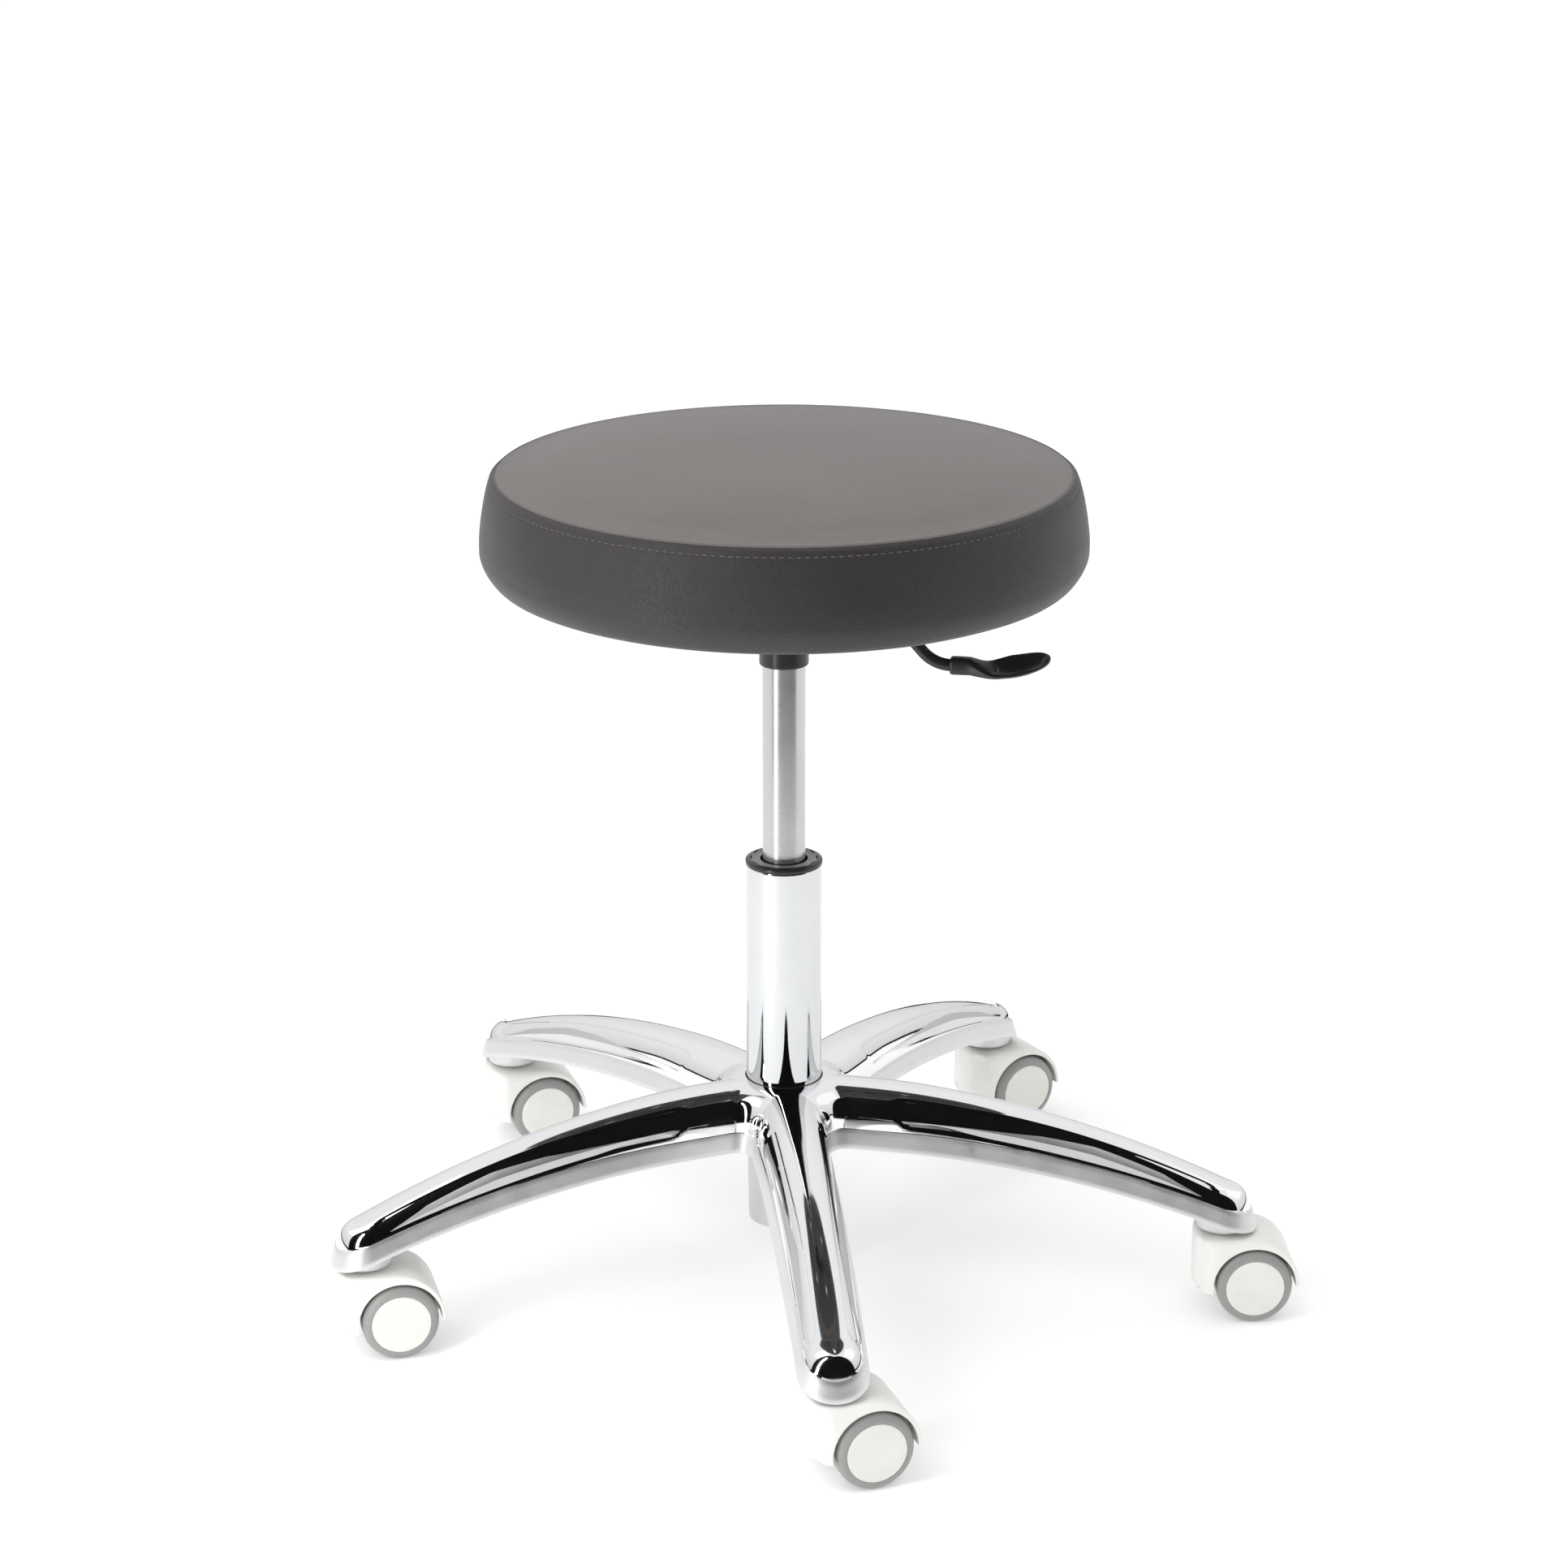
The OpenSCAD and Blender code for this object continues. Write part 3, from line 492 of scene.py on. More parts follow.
def armStations():
    # pairs of outline point and spine point, from the hub's inner corner to the arm's tip
    b = base
    half = armHalf(52)
    corner = math.radians(36)
    centreDist = (half + b["fillet"]) / math.sin(corner)
    centre = Vector((centreDist * math.cos(corner), centreDist * math.sin(corner)))
    stations = []
    hubSteps = 16
    for k in range(hubSteps + 1):
        t = k / hubSteps
        a = math.pi + corner + t * (math.pi * 1.5 - math.pi - corner)
        rim = centre + b["fillet"] * Vector((math.cos(a), math.sin(a)))
        s = corner * (1 - t)
        stations.append((rim, Vector((b["seamRadius"] * math.cos(s), b["seamRadius"] * math.sin(s)))))
    first = centre.x
    armSteps = 104
    last = reach / mm
    for k in range(1, armSteps + 1):
        t = k / armSteps
        x = first + (last - first) * t
        ease = min(1, t * 3.2)
        spine = b["seamRadius"] + (x - b["seamRadius"]) * smoothStep(-0.35, 1, ease)
        stations.append((Vector((x, armHalf(x))), Vector((min(spine, x), 0))))
    tipSteps = 22
    for k in range(1, tipSteps + 1):
        a = math.pi / 2 * k / tipSteps
        rim = Vector((last + b["tipRadius"] * math.sin(a), b["tipRadius"] * math.cos(a)))
        stations.append((rim, Vector((last + b["tipFall"] * math.sin(a), 0))))
    return stations


def panelMask(x, s):
    # 1 inside the sunk side panel, 0 outside it, with round ends
    b = base
    midX, midS = (b["panelIn"] + b["panelOut"]) / 2, (b["panelLow"] + b["panelHigh"]) / 2
    halfX, halfS = (b["panelOut"] - b["panelIn"]) / 2, (b["panelHigh"] - b["panelLow"]) / 2 * 36
    corner = halfS * 0.8
    dx = max(abs(x - midX) - halfX + corner, 0)
    ds = max(abs((s - midS) * 36) - halfS + corner, 0)
    inside = corner - math.hypot(dx, ds)
    return smoothStep(0.0, 1.3, inside)


def sectionAt(rim, spine, side):
    # points up the outside of the casting at one station
    b = base
    x = rim.length if rim.x < 52 else rim.x
    low = lipHeight(rim.x)
    top = crestHeight(max(spine.length, 1))
    inward = (spine - rim)
    length = inward.length
    inward = inward / length if length > 1e-6 else Vector((-1, 0))
    points = []

    def put(inset, height):
        p = rim + inward * inset
        points.append((p.x, side * p.y, height))

    shoulder = low + b["bandHeight"]
    put(b["wall"], low + 1.0)
    put(0.8, low)
    put(0.25, low + 0.25)
    put(0.05, low + 0.9)
    for k in range(1, 5):
        t = k / 4
        put(0.05 + (b["bandLean"] - 0.3) * t, low + 0.9 + (b["bandHeight"] - 1.2) * t)
    put(b["bandLean"], shoulder)
    ledge = b["bandLean"] + b["ledge"] * 0.6
    steps = 34
    e = 2 / b["roll"]
    lean = b["hubLean"] + (b["tipLean"] - b["hubLean"]) * smoothStep(100, 215, rim.x)
    for k in range(steps + 1):
        s = k / steps
        a = math.pi / 2 * s
        rise = math.sin(a) ** e
        inset = ledge + (length - ledge) * ((1 - lean) * (1 - max(0.0, math.cos(a)) ** e) + lean * rise)
        height = shoulder + 0.35 + (top - shoulder - 0.35) * rise
        sink = b["panelDepth"] * panelMask(x, s)
        put(inset + sink * math.cos(a), height - sink * math.sin(a))
    return points


def buildBase():
    b = base
    stations = armStations()
    verts, faces = [], []
    count = len(sectionAt(stations[0][0], stations[0][1], 1))
    for angle in armAngles:
        turn = Matrix.Rotation(angle, 4, "Z")
        for side in (1, -1):
            start = len(verts)
            for rim, spine in stations:
                verts += [turn @ Vector(p) * mm for p in sectionAt(rim, spine, side)]
            faces += gridFaces(len(stations), count, start=start)
            # inner wall and ceiling of the hollow underneath
            start = len(verts)
            inner = []
            for rim, spine in stations:
                inward = (spine - rim)
                inward = inward.normalized() if inward.length > 1e-6 else Vector((-1, 0))
                low, top = lipHeight(rim.x), crestHeight(max(spine.length, 1))
                roof = min(low + 24, top - 7)
                wallIn = rim + inward * (b["wall"] + 1.5)
                lipIn = rim + inward * b["wall"]
                midIn = rim.lerp(spine, 0.62)
                row = [(lipIn, low + 1.0), (lipIn, low + 3), (wallIn, roof - 3),
                       (rim + inward * (b["wall"] + 4.5), roof),
                       (midIn, roof + 2), (spine, roof + 2)]
                inner.append([(p.x, side * p.y, h) for p, h in row])
            for row in inner:
                verts += [turn @ Vector(p) * mm for p in row]
            faces += gridFaces(len(inner), len(inner[0]), start=start)
    return addPiece("star_base", verts, faces)


def assignBands(obj):
    # cast band along the lower edge, polished above, raw inside: told apart by height over the lip
    mesh = obj.data
    for poly in mesh.polygons:
        c = poly.center / mm
        best = min((abs((math.atan2(c.y, c.x) - a + math.pi) % (2 * math.pi) - math.pi), a)
                   for a in armAngles)[1]
        x = c.x * math.cos(best) + c.y * math.sin(best)
        above = c.z - lipHeight(x)
        outward = poly.normal.z > -0.35
        poly.material_index = 1 if above < base["bandHeight"] - 0.1 and outward else (0 if outward else 2)


starBase = buildBase()
bm = bmesh.new()
bm.from_mesh(starBase.data)
bmesh.ops.remove_doubles(bm, verts=bm.verts, dist=0.00002)
bm.normal_update()
bm.to_mesh(starBase.data)
bm.free()
assignBands(starBase)
starBase.data.set_sharp_from_angle(angle=math.radians(38))
finishPiece(starBase, "base", ["base_casting"], [polished, castBand, rawCasting])


def buildHubAndBosses():
    # seam chamfer in a near-black colour as painted shadow of the joint line, hub's sleeve round the column, and a
    # ribbed boss under each tip
    b = base
    top = b["crestTop"]
    ring = rounded(scaled([(b["seamRadius"] + 0.1, top), (25.1, top - 0.9), (25.1, b["bottomZ"]),
                           (33, b["bottomZ"]), (33, 124)]), [0, 0.0002, 0.0008, 0.0012, 0], 4)
    sleeve = lathe("hub_sleeve", ring, 96)
    finishPiece(sleeve, "base", [], [castBand])
    # a dark ring laid in the joint: painted shadow of the gap round the column
    gap = rounded(scaled([(24.9, top - 1.2), (24.9, top - 0.1), (25.75, top + 0.12), (25.95, top - 0.3)]),
                  [0, 0.0002, 0.0002, 0], 3)
    finishPiece(lathe("hub_seam", gap, 128), "base", [], [seamPaintedShadow])
    for i, spot in enumerate(stemSpots):
        r, z, hole = b["bossRadius"], b["bossZ"], 5.6
        profile = rounded(scaled([(hole, z + 16), (hole, z), (r, z), (r + 0.5, z + 16)]),
                          [0, 0.0006, 0.0016, 0], 4)
        boss = lathe(f"tip_boss_{i + 1}", profile, 64, Matrix.Translation((spot.x, spot.y, 0)))
        finishPiece(boss, "base", [], [castBand])


buildHubAndBosses()
print("base built:", len(starBase.data.polygons), "faces")


lift = {"seamZ": 140.3, "tubeRadius": 14.0, "columnRadius": 25.0, "capRadius": 25.3, "capHole": 15.5}
slots = {"count": 12, "inner": 0.0210, "middle": 0.0216, "outer": 0.0219, "length": 0.0062}  # in metres


def buildLift():
    low, high = columnBox[0].z, columnBox[1].z
    wide = lift["columnRadius"] * mm
    profile = rounded([(0.005, low + 0.0004), (0.0236, low), (wide, lift["seamZ"] * mm), (wide, high),
                       (0.0225, high), (0.0225, high - 0.01)], [0, 0.0012, 0.01, 0.0003, 0.0003, 0], 5)
    column = lathe("column_tube", profile, 160)
    finishPiece(column, "base", ["outer_column"], [chromePlate])

    tubeLow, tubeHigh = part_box("pressure_tube")[0].z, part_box("pressure_tube")[1].z
    r = lift["tubeRadius"] * mm
    tube = lathe("inner_tube", rounded([(r - 0.0015, tubeLow), (r, tubeLow), (r, 0.428), (r - 0.001, tubeHigh),
                                        (0.0036, tubeHigh)], [0, 0.0006, 0.002, 0.0006, 0], 4), 128)
    finishPiece(tube, "seat", ["pressure_tube"], [groundTube])

    sockLow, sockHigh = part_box("taper_socket")[0].z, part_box("taper_socket")[1].z
    socket = lathe("grip_socket", rounded([(0.01405, sockLow + 0.003), (0.01405, sockLow), (0.016, sockLow),
                                           (0.016, sockHigh), (0.0131, sockHigh)],
                                          [0, 0.0004, 0.0008, 0.0006, 0], 4), 96)
    finishPiece(socket, "seat", ["taper_socket"], [blackCoat])


def buildCap():
    low, high = columnBox[1].z, capBox[1].z
    hole, outer = lift["capHole"] * mm, lift["capRadius"] * mm
    rim = 0.0222
    profile = rounded([(hole, low - 0.004), (hole, high - 0.0007), (rim - 0.0032, high - 0.0009),
                       (rim, high - 0.0001), (outer, high - 0.0012), (outer, low + 0.0002), (0.0226, low)],
                      [0, 0.0003, 0.0004, 0.0008, 0.0011, 0.0004, 0], 4)
    cap = lathe("column_cap_ring", profile, 144)
    cutter = bpy.data.meshes.new("slotCutter")
    bm = bmesh.new()
    arc = slots["length"] / slots["middle"]
    slotIn, slotOut = slots["inner"], slots["outer"]
    for k in range(slots["count"]):
        a0 = 2 * math.pi * k / slots["count"]
        rings = []
        for j in range(7):
            a = a0 + arc * (j / 6 - 0.5)
            rings.append([bm.verts.new((r * math.cos(a), r * math.sin(a), z)) for r, z in
                          ((slotIn, high - 0.0018), (slotOut, high - 0.0018),
                           (slotOut, high + 0.001), (slotIn, high + 0.001))])
        for p, q in zip(rings, rings[1:]):
            for m in range(4):
                bm.faces.new((p[m], p[(m + 1) % 4], q[(m + 1) % 4], q[m]))
        bm.faces.new(rings[0])
        bm.faces.new(rings[-1])
    bmesh.ops.recalc_face_normals(bm, faces=bm.faces)
    bm.to_mesh(cutter)
    bm.free()
    cutObj = bpy.data.objects.new("slotCutter", cutter)
    scene.collection.objects.link(cutObj)
    mod = cap.modifiers.new("slots", "BOOLEAN")
    mod.object = cutObj
    mod.operation = "DIFFERENCE"
    mod.solver = "EXACT"
    mod.use_self = False
    applyModifiers(cap)
    bpy.data.objects.remove(cutObj)
    cap.data.set_sharp_from_angle(angle=math.radians(35))
    finishPiece(cap, "base", ["column_cap"], [capPlastic, capFace])
    for poly in cap.data.polygons:
        c = poly.center
        if c.z > high - 0.0013 and c.xy.length < rim and poly.normal.z > 0.7:
            poly.material_index = 1


def applyModifiers(obj):
    graph = bpy.context.evaluated_depsgraph_get()
    mesh = bpy.data.meshes.new_from_object(obj.evaluated_get(graph))
    obj.modifiers.clear()
    obj.data = mesh


buildLift()
buildCap()
print("gas lift built")


lever = {"rod": 4.0, "inner": -6.0, "bend": 24.0, "slope": 48.0, "drop": 39.0, "handleIn": 108.0, "handleOut": 172.0,
         "grip": 13.0, "half": 14.0, "sideTilt": 0.22}


def leverPlace():
    turn = Matrix.Rotation(leverTurn, 4, "Z")
    return turn @ Matrix.Translation((0, 0, leverPivot.z))


def buildLeverRod():
    v = lever
    slope = math.radians(v["slope"])
    fallZ = v["drop"] - 2 * v["bend"] * (1 - math.cos(slope))
    firstX = v["handleIn"] - fallZ / math.tan(slope) - 2 * v["bend"] * math.sin(slope)
    way = [(v["inner"], 0, 0), (v["inner"] + 0.5, 0, 0), (firstX, 0, 0)]
    bends = [slope * k / 12 for k in range(13)]
    way += [(firstX + v["bend"] * math.sin(a), v["bend"] * (math.cos(a) - 1), a) for a in bends[1:]]
    way += [(v["handleIn"] - v["bend"] * math.sin(a), v["bend"] * (1 - math.cos(a)) - v["drop"], a)
            for a in reversed(bends)]
    way.append((v["handleIn"] + v["grip"], -v["drop"], 0))
    verts = []
    sides = 40
    for n, (x, z, a) in enumerate(way):
        r = v["rod"] - (0.5 if n == 0 else 0)
        for k in range(sides):
            c = 2 * math.pi * k / sides
            verts.append((x + r * math.sin(c) * math.sin(a), r * math.cos(c),
                          z + r * math.sin(c) * math.cos(a)))
    faces = gridFaces(len(way), sides, wrap=True)
    faces.append(tuple(range(sides)))
    faces.append(tuple(range(len(verts) - sides, len(verts))))
    place = leverPlace()
    rod = addPiece("lever_bar", [place @ (Vector(p) * mm) for p in verts], faces, edgeAngle=40)
    finishPiece(rod, "lever", ["lever_rod"], [blackCoat])


def paddleHeight(u):
    return 7 * u * u - 3.5 * math.sin(math.pi * u)


def buildHandle():
    # socket round the rod that opens into a cupped paddle with a thick rim and a chequered oval
    v = lever
    length = v["handleOut"] - v["handleIn"]
    verts = []
    rows, cols = 110, 72
    for i in range(rows + 1):
        t = i / rows
        x = v["handleIn"] + length * t
        u = max(0.0, (t - 0.2) / 0.8)
        ends = math.sqrt(max(0.0, 1 - max(0.0, (t - 0.62) / 0.38) ** 2.6))
        nose = min(1.0, (t + 0.004) * 40) ** 0.5
        half = (5.7 + (v["half"] - 5.7) * smoothStep(0.12, 0.62, t)) * max(ends, 0.02) * (0.82 + 0.18 * nose)
        thick = (11.4 - 6.6 * smoothStep(0.1, 0.6, t)) * (0.82 + 0.18 * nose)
        thick *= 0.35 + 0.65 * math.sqrt(max(0.0, 1 - max(0.0, (t - 0.9) / 0.1) ** 2))
        power = 0.62 + 0.38 * smoothStep(0.15, 0.5, t)
        for k in range(cols):
            a = 2 * math.pi * k / cols
            c, s = math.cos(a), math.sin(a)
            y = half * math.copysign(abs(c) ** power, c)
            z = thick / 2 * math.copysign(abs(s) ** power, s)
            side = abs(y) / v["half"]
            cup = smoothStep(0.25, 0.6, t) * 3.2 * side ** 2
            dish = (smoothStep(0.2, 0.5, t) * (1 - smoothStep(0.88, 1.0, t)) * 1.6
                    * (1 - min(1, side * 1.35) ** 4))
            if s > 0:
                z -= dish * s
                oval = ((t - 0.70) / 0.23) ** 2 + (y / 10.2) ** 2
                if oval < 1:
                    p, q = (x + y) / 2.3, (x - y) / 2.3
                    knurl = abs((p % 1) - 0.5) + abs((q % 1) - 0.5)
                    z -= 0.45 * (1 - knurl) * smoothStep(1.0, 0.86, oval) if oval > 0.86 else 0.45 * (1 - knurl)
                elif oval < 1.22:
                    z += 0.25 * math.sin((oval - 1) / 0.22 * math.pi)
            tip = v["sideTilt"] * smoothStep(0.1, 0.5, t) * y
            verts.append((x, y, z + cup + tip + paddleHeight(u)))
    faces = gridFaces(rows + 1, cols, wrap=True)
    faces.append(tuple(range(cols)))
    faces.append(tuple(range(rows * cols, (rows + 1) * cols)))
    place = leverPlace() @ Matrix.Translation((0, 0, -v["drop"] * mm))
    handle = addPiece("lever_paddle", [place @ (Vector(p) * mm) for p in verts], faces, edgeAngle=50)
    finishPiece(handle, "lever", ["lever_handle"], [handlePlastic])


buildLeverRod()
buildHandle()
print("lever built")


caster = {
    "wheelX": 18.7, "wheelZ": 25.0, "wellRadius": 27.2, "noseX": -18.6, "lowZ": 20.0, "topZ": 57.5,
    "noseCorner": 4.0, "fenderRadius": 32.5, "tip": 2.3, "half": 25.0, "web": 8.0, "fillet": 6.5,
    "noseRadius": 52.0, "discRadius": 19.3, "wheelRadius": 25.0, "wheelIn": 9.0, "wheelOut": 27.0,
    "treadEdge": 5.0,
}


def hoodPath():
    # outer side outline from the nose's lower edge over the top to the fender's tip, with the
    # matching angle on the wheel well for each point
    h = caster
    fenderX = h["wheelX"] + h["wellRadius"] + h["tip"] - h["fenderRadius"]
    path = []
    for z in (h["lowZ"], h["lowZ"] + 0.5, 25, 31, 38, 45, 50):
        path.append((h["noseX"] + (0.4 if z == h["lowZ"] else 0), z))
    for k in range(9):
        a = math.pi - math.pi / 2 * k / 8
        path.append((h["noseX"] + h["noseCorner"] + h["noseCorner"] * math.cos(a),
                     h["topZ"] - h["noseCorner"] + h["noseCorner"] * math.sin(a)))
    for k in range(1, 10):
        path.append((h["noseX"] + h["noseCorner"] + (fenderX - h["noseX"] - h["noseCorner"]) * k / 10,
                     h["topZ"]))
    for k in range(29):
        a = math.pi / 2 * (1 - k / 28)
        path.append((fenderX + h["fenderRadius"] * math.cos(a), h["wheelZ"] + h["fenderRadius"] * math.sin(a)))
    return path


def hoodHalf(x):
    # half width of the hood in plan: full width behind, drawn in to a blunt round nose
    h = caster
    ahead = min(max(x - h["noseX"], 0.02), h["noseRadius"])
    plan = math.sqrt(h["noseRadius"] ** 2 - (h["noseRadius"] - ahead) ** 2)
    soft = 2.6
    return max(h["half"] - math.log(1 + math.exp((h["half"] - plan) / soft)) * soft, 3.0)


def hoodSection(x, z, nx, nz, wellX, wellZ):
    # across the hood: crown strip, fillet, cheek, well edge, well surface
    h = caster
    gap = math.hypot(x - wellX, z - wellZ)
    f = min(h["fillet"], gap * 0.42)
    half = hoodHalf(x + f * 0.3)
    f = min(f, half * 0.8)
    row = [(x, y, z) for y in (0, (half - f) * 0.35, (half - f) * 0.7, half - f)]
    for k in range(1, 6):
        a = math.pi / 2 * k / 5
        px = x - nx * f * (1 - math.cos(a))
        wide = hoodHalf(px) - half if k > 2 else 0
        row.append((px, half - f + f * math.sin(a) + wide * (k - 2) / 3, z - nz * f * (1 - math.cos(a))))
    ux, uz = (x - wellX) / gap, (z - wellZ) / gap
    edge = min(0.7, gap * 0.2)
    start = (x - nx * f, z - nz * f)
    stop = (wellX + ux * edge, wellZ + uz * edge)
    for t in (0.15, 0.32, 0.52, 0.76, 1.0):
        px = start[0] + (stop[0] - start[0]) * t
        row.append((px, hoodHalf(px), start[1] + (stop[1] - start[1]) * t))
    last = hoodHalf(wellX)
    row.append((wellX + ux * edge * 0.25, last - edge * 0.25, wellZ + uz * edge * 0.25))
    row.append((wellX, last - edge, wellZ))
    row += [(wellX, last - edge - (last - edge - h["web"]) * t, wellZ) for t in (0.1, 0.5, 1.0)]
    return row


def hoodMesh():
    h = caster
    path = hoodPath()
    lengths = [0]
    for p, q in zip(path, path[1:]):
        lengths.append(lengths[-1] + math.dist(p, q))
    firstAngle = math.pi + math.asin((h["wheelZ"] - h["lowZ"]) / h["wellRadius"])
    rows = []
    for i, (x, z) in enumerate(path):
        a = path[max(i - 1, 0)]
        b = path[min(i + 1, len(path) - 1)]
        tx, tz = b[0] - a[0], b[1] - a[1]
        size = math.hypot(tx, tz)
        nx, nz = -tz / size, tx / size
        t = lengths[i] / lengths[-1]
        direct = math.atan2(z - h["wheelZ"], x - h["wheelX"])
        even = firstAngle * (1 - t)
        turn = even if t < 0.62 else even + (direct - even) * smoothStep(0.62, 0.8, t)
        rows.append(hoodSection(x, z, nx, nz, h["wheelX"] + h["wellRadius"] * math.cos(turn),
                                h["wheelZ"] + h["wellRadius"] * math.sin(turn)))
    count = len(rows[0])
    verts, faces = [], []
    for side in (1, -1):
        start = len(verts)
        verts += [(x, side * y, z) for row in rows for x, y, z in row]
        faces += gridFaces(len(rows), count, start=start)
        for row in (0, len(rows) - 1):
            s = start + row * count
            half = count // 2
            for k in range(half):
                if k < count - 2 - k:
                    faces.append((s + k, s + k + 1, s + count - 2 - k, s + count - 1 - k))
    # web plate between the two wheels
    arc = [math.radians(a) for a in range(-2, 186, 4)]
    rim = [(h["wheelX"] + h["wellRadius"] * math.cos(a), h["wheelZ"] + h["wellRadius"] * math.sin(a))
           for a in arc]
    hubR = h["wheelRadius"] - 4
    rim += [(h["wheelX"] + hubR * math.cos(math.radians(a)), h["wheelZ"] + hubR * math.sin(math.radians(a)))
            for a in range(188, 356, 6)]
    start = len(verts)
    for y in (-h["web"], h["web"]):
        verts += [(x, y, z) for x, z in rim]
    n = len(rim)
    faces.append(tuple(start + k for k in range(n)))
    faces.append(tuple(start + n + k for k in range(n)))
    for k in range(n):
        faces.append((start + k, start + (k + 1) % n, start + n + (k + 1) % n, start + n + k))
    return verts, faces


def wheelProfile():
    h = caster
    r, e, out = h["wheelRadius"], h["treadEdge"], h["wheelOut"] - 0.4
    tread = [(h["discRadius"], h["wheelIn"]), (r - 2, h["wheelIn"]), (r - 0.6, h["wheelIn"] + 0.6),
             (r, h["wheelIn"] + 2)]
    tread += [(r, out - e - 4)]
    tread += [(r - e + e * math.cos(a), out - e + e * math.sin(a))
              for a in [math.pi / 2 * k / 12 for k in range(13)]]
    tread += [(h["discRadius"] + 0.25, out), (h["discRadius"], out - 0.3), (h["discRadius"], h["wheelIn"])]
    d = h["discRadius"] - 0.05
    core = [(3.1, h["wheelIn"]), (7, h["wheelIn"]), (7, out - 5), (d - 2.5, out - 5),
            (d - 2.5, h["wheelIn"]), (d, h["wheelIn"]),
            (d, out - 0.25), (d - 0.1, out), (d - 0.35, out + 0.18), (d - 0.8, out + 0.25)]
    core += [(d * (1 - k / 6) - 0.8 * (1 - k / 6), out + 0.25 + 0.15 * math.sin(math.pi / 2 * k / 6))
             for k in range(1, 7)]
    return tread, core


def buildCasters():
    verts, faces = hoodMesh()
    tread, core = wheelProfile()
    for i, name in enumerate(casterNames):
        axle = Vector(joints[name + "_roll_a"]["axis"])
        yaw = math.atan2(-axle.x, axle.y)
        spot = stemSpots[i]
        place = Matrix.Translation((spot.x, spot.y, 0)) @ Matrix.Rotation(yaw, 4, "Z")
        hood = addPiece(name + "_shell", [place @ (Vector(v) * mm) for v in verts], faces, edgeAngle=35)
        finishPiece(hood, name, [name + "_hood"], [hoodPlastic])
        for letter, side in (("a", 1), ("b", -1)):
            hub = place @ Matrix.Translation((caster["wheelX"] * mm, 0, caster["wheelZ"] * mm)) \
                @ Matrix.Rotation(side * -math.pi / 2, 4, "X")
            body = f"{name}_wheel_{letter}"
            tyre = lathe(f"{name}_tyre_{letter}", scaled(tread), 96, hub)
            finishPiece(tyre, body, [f"{name}_tread_{letter}"], [treadRubber])
            disc = lathe(f"{name}_disc_{letter}", scaled(core), 96, hub)
            finishPiece(disc, body, [f"{name}_core_{letter}"], [discPlastic])


buildCasters()
print("casters built")


cushion = {
    "seamRadius": 183.5, "seamRise": 68.0, "widest": 193.5, "widestRise": 19.0, "baseRadius": 173.0,
    "crown": 13.0, "flat": 45.0, "shrink": 2.6, "voxel": 5.5, "pressure": 3.6, "cap": 4.5,
    "seamDip": 1.5, "stitchDrop": 5.2, "stitchPitch": 5.0, "stitchLength": 3.4, "thread": 0.45,
}


def sideProfile():
    # from the seam down the side, round the lower edge and in under the board
    c = cushion
    low = underZ / mm
    widestZ, seamZ = low + c["widestRise"], low + c["seamRise"]
    points = []
    for k in range(41):
        t = math.pi / 2 * (k / 40) ** 1.25
        points.append((c["seamRadius"] + (c["widest"] - c["seamRadius"]) * math.sin(t),
                       widestZ + (seamZ - widestZ) * max(math.cos(t), 0) ** 1.15))
    e = 2 / 1.75
    for k in range(1, 19):
        t = math.pi / 2 * k / 18
        points.append((c["baseRadius"] + (c["widest"] - c["baseRadius"]) * max(math.cos(t), 0) ** e,
                       widestZ - c["widestRise"] * math.sin(t) ** e))
    return points


def crownProfile():
    # from the seam inwards over the top to the middle
    c = cushion
    seamZ = underZ / mm + c["seamRise"]
    points = []
    for k in range(49):
        u = (k / 48) ** 1.35
        r = c["seamRadius"] * (1 - u)
        w = min(1, u * c["seamRadius"] / (c["seamRadius"] - c["flat"]))
        points.append((r, seamZ + c["crown"] * (1 - (1 - w) ** 2)))
    return points


def simulateCushion():
    # a slightly smaller stuffed form, blown up as cloth against its own stretch
    c = cushion
    side, crown = sideProfile(), crownProfile()
    outline = [(r - c["shrink"], z) for r, z in reversed(side)]
    outline += [(max(r - c["shrink"], 0.0), z - c["shrink"]) for r, z in crown[3::3]]
    outline = [(0.0, outline[0][1])] + outline
    form = lathe("cushionForm", scaled(outline), 144)
    remesh = form.modifiers.new("remesh", "REMESH")
    remesh.mode = "VOXEL"
    remesh.voxel_size = c["voxel"] * mm
    applyModifiers(form)
    rest = [v.co.copy() for v in form.data.vertices]
    held = form.vertex_groups.new(name="held")
    held.add([v.index for v in form.data.vertices if v.co.z < underZ + 0.004], 1.0, "ADD")
    cloth = form.modifiers.new("cloth", "CLOTH")
    cloth.settings.quality = 6
    cloth.settings.use_pressure = True
    cloth.settings.uniform_pressure_force = c["pressure"]
    cloth.settings.effector_weights.gravity = 0
    cloth.settings.tension_stiffness = 22
    cloth.settings.compression_stiffness = 22
    cloth.settings.bending_stiffness = 2.5
    cloth.settings.vertex_group_mass = "held"
    for f in range(1, 21):
        scene.frame_set(f)
    graph = bpy.context.evaluated_depsgraph_get()
    blown = form.evaluated_get(graph).to_mesh()
    moved = [v.co.copy() for v in blown.vertices]
    form.evaluated_get(graph).to_mesh_clear()
    form.modifiers.clear()
    scene.frame_set(1)
    for v, a, b in zip(form.data.vertices, rest, moved):
        step = b - a
        size = step.length
        v.co = a + step * (c["cap"] * mm * (1 - math.exp(-size / (c["cap"] * mm))) / size) if size > 1e-9 else a
    tree = BVHTree.FromPolygons([v.co.copy() for v in form.data.vertices],
                                [tuple(p.vertices) for p in form.data.polygons])
    bpy.data.objects.remove(form)
    return tree


blownForm = simulateCushion()


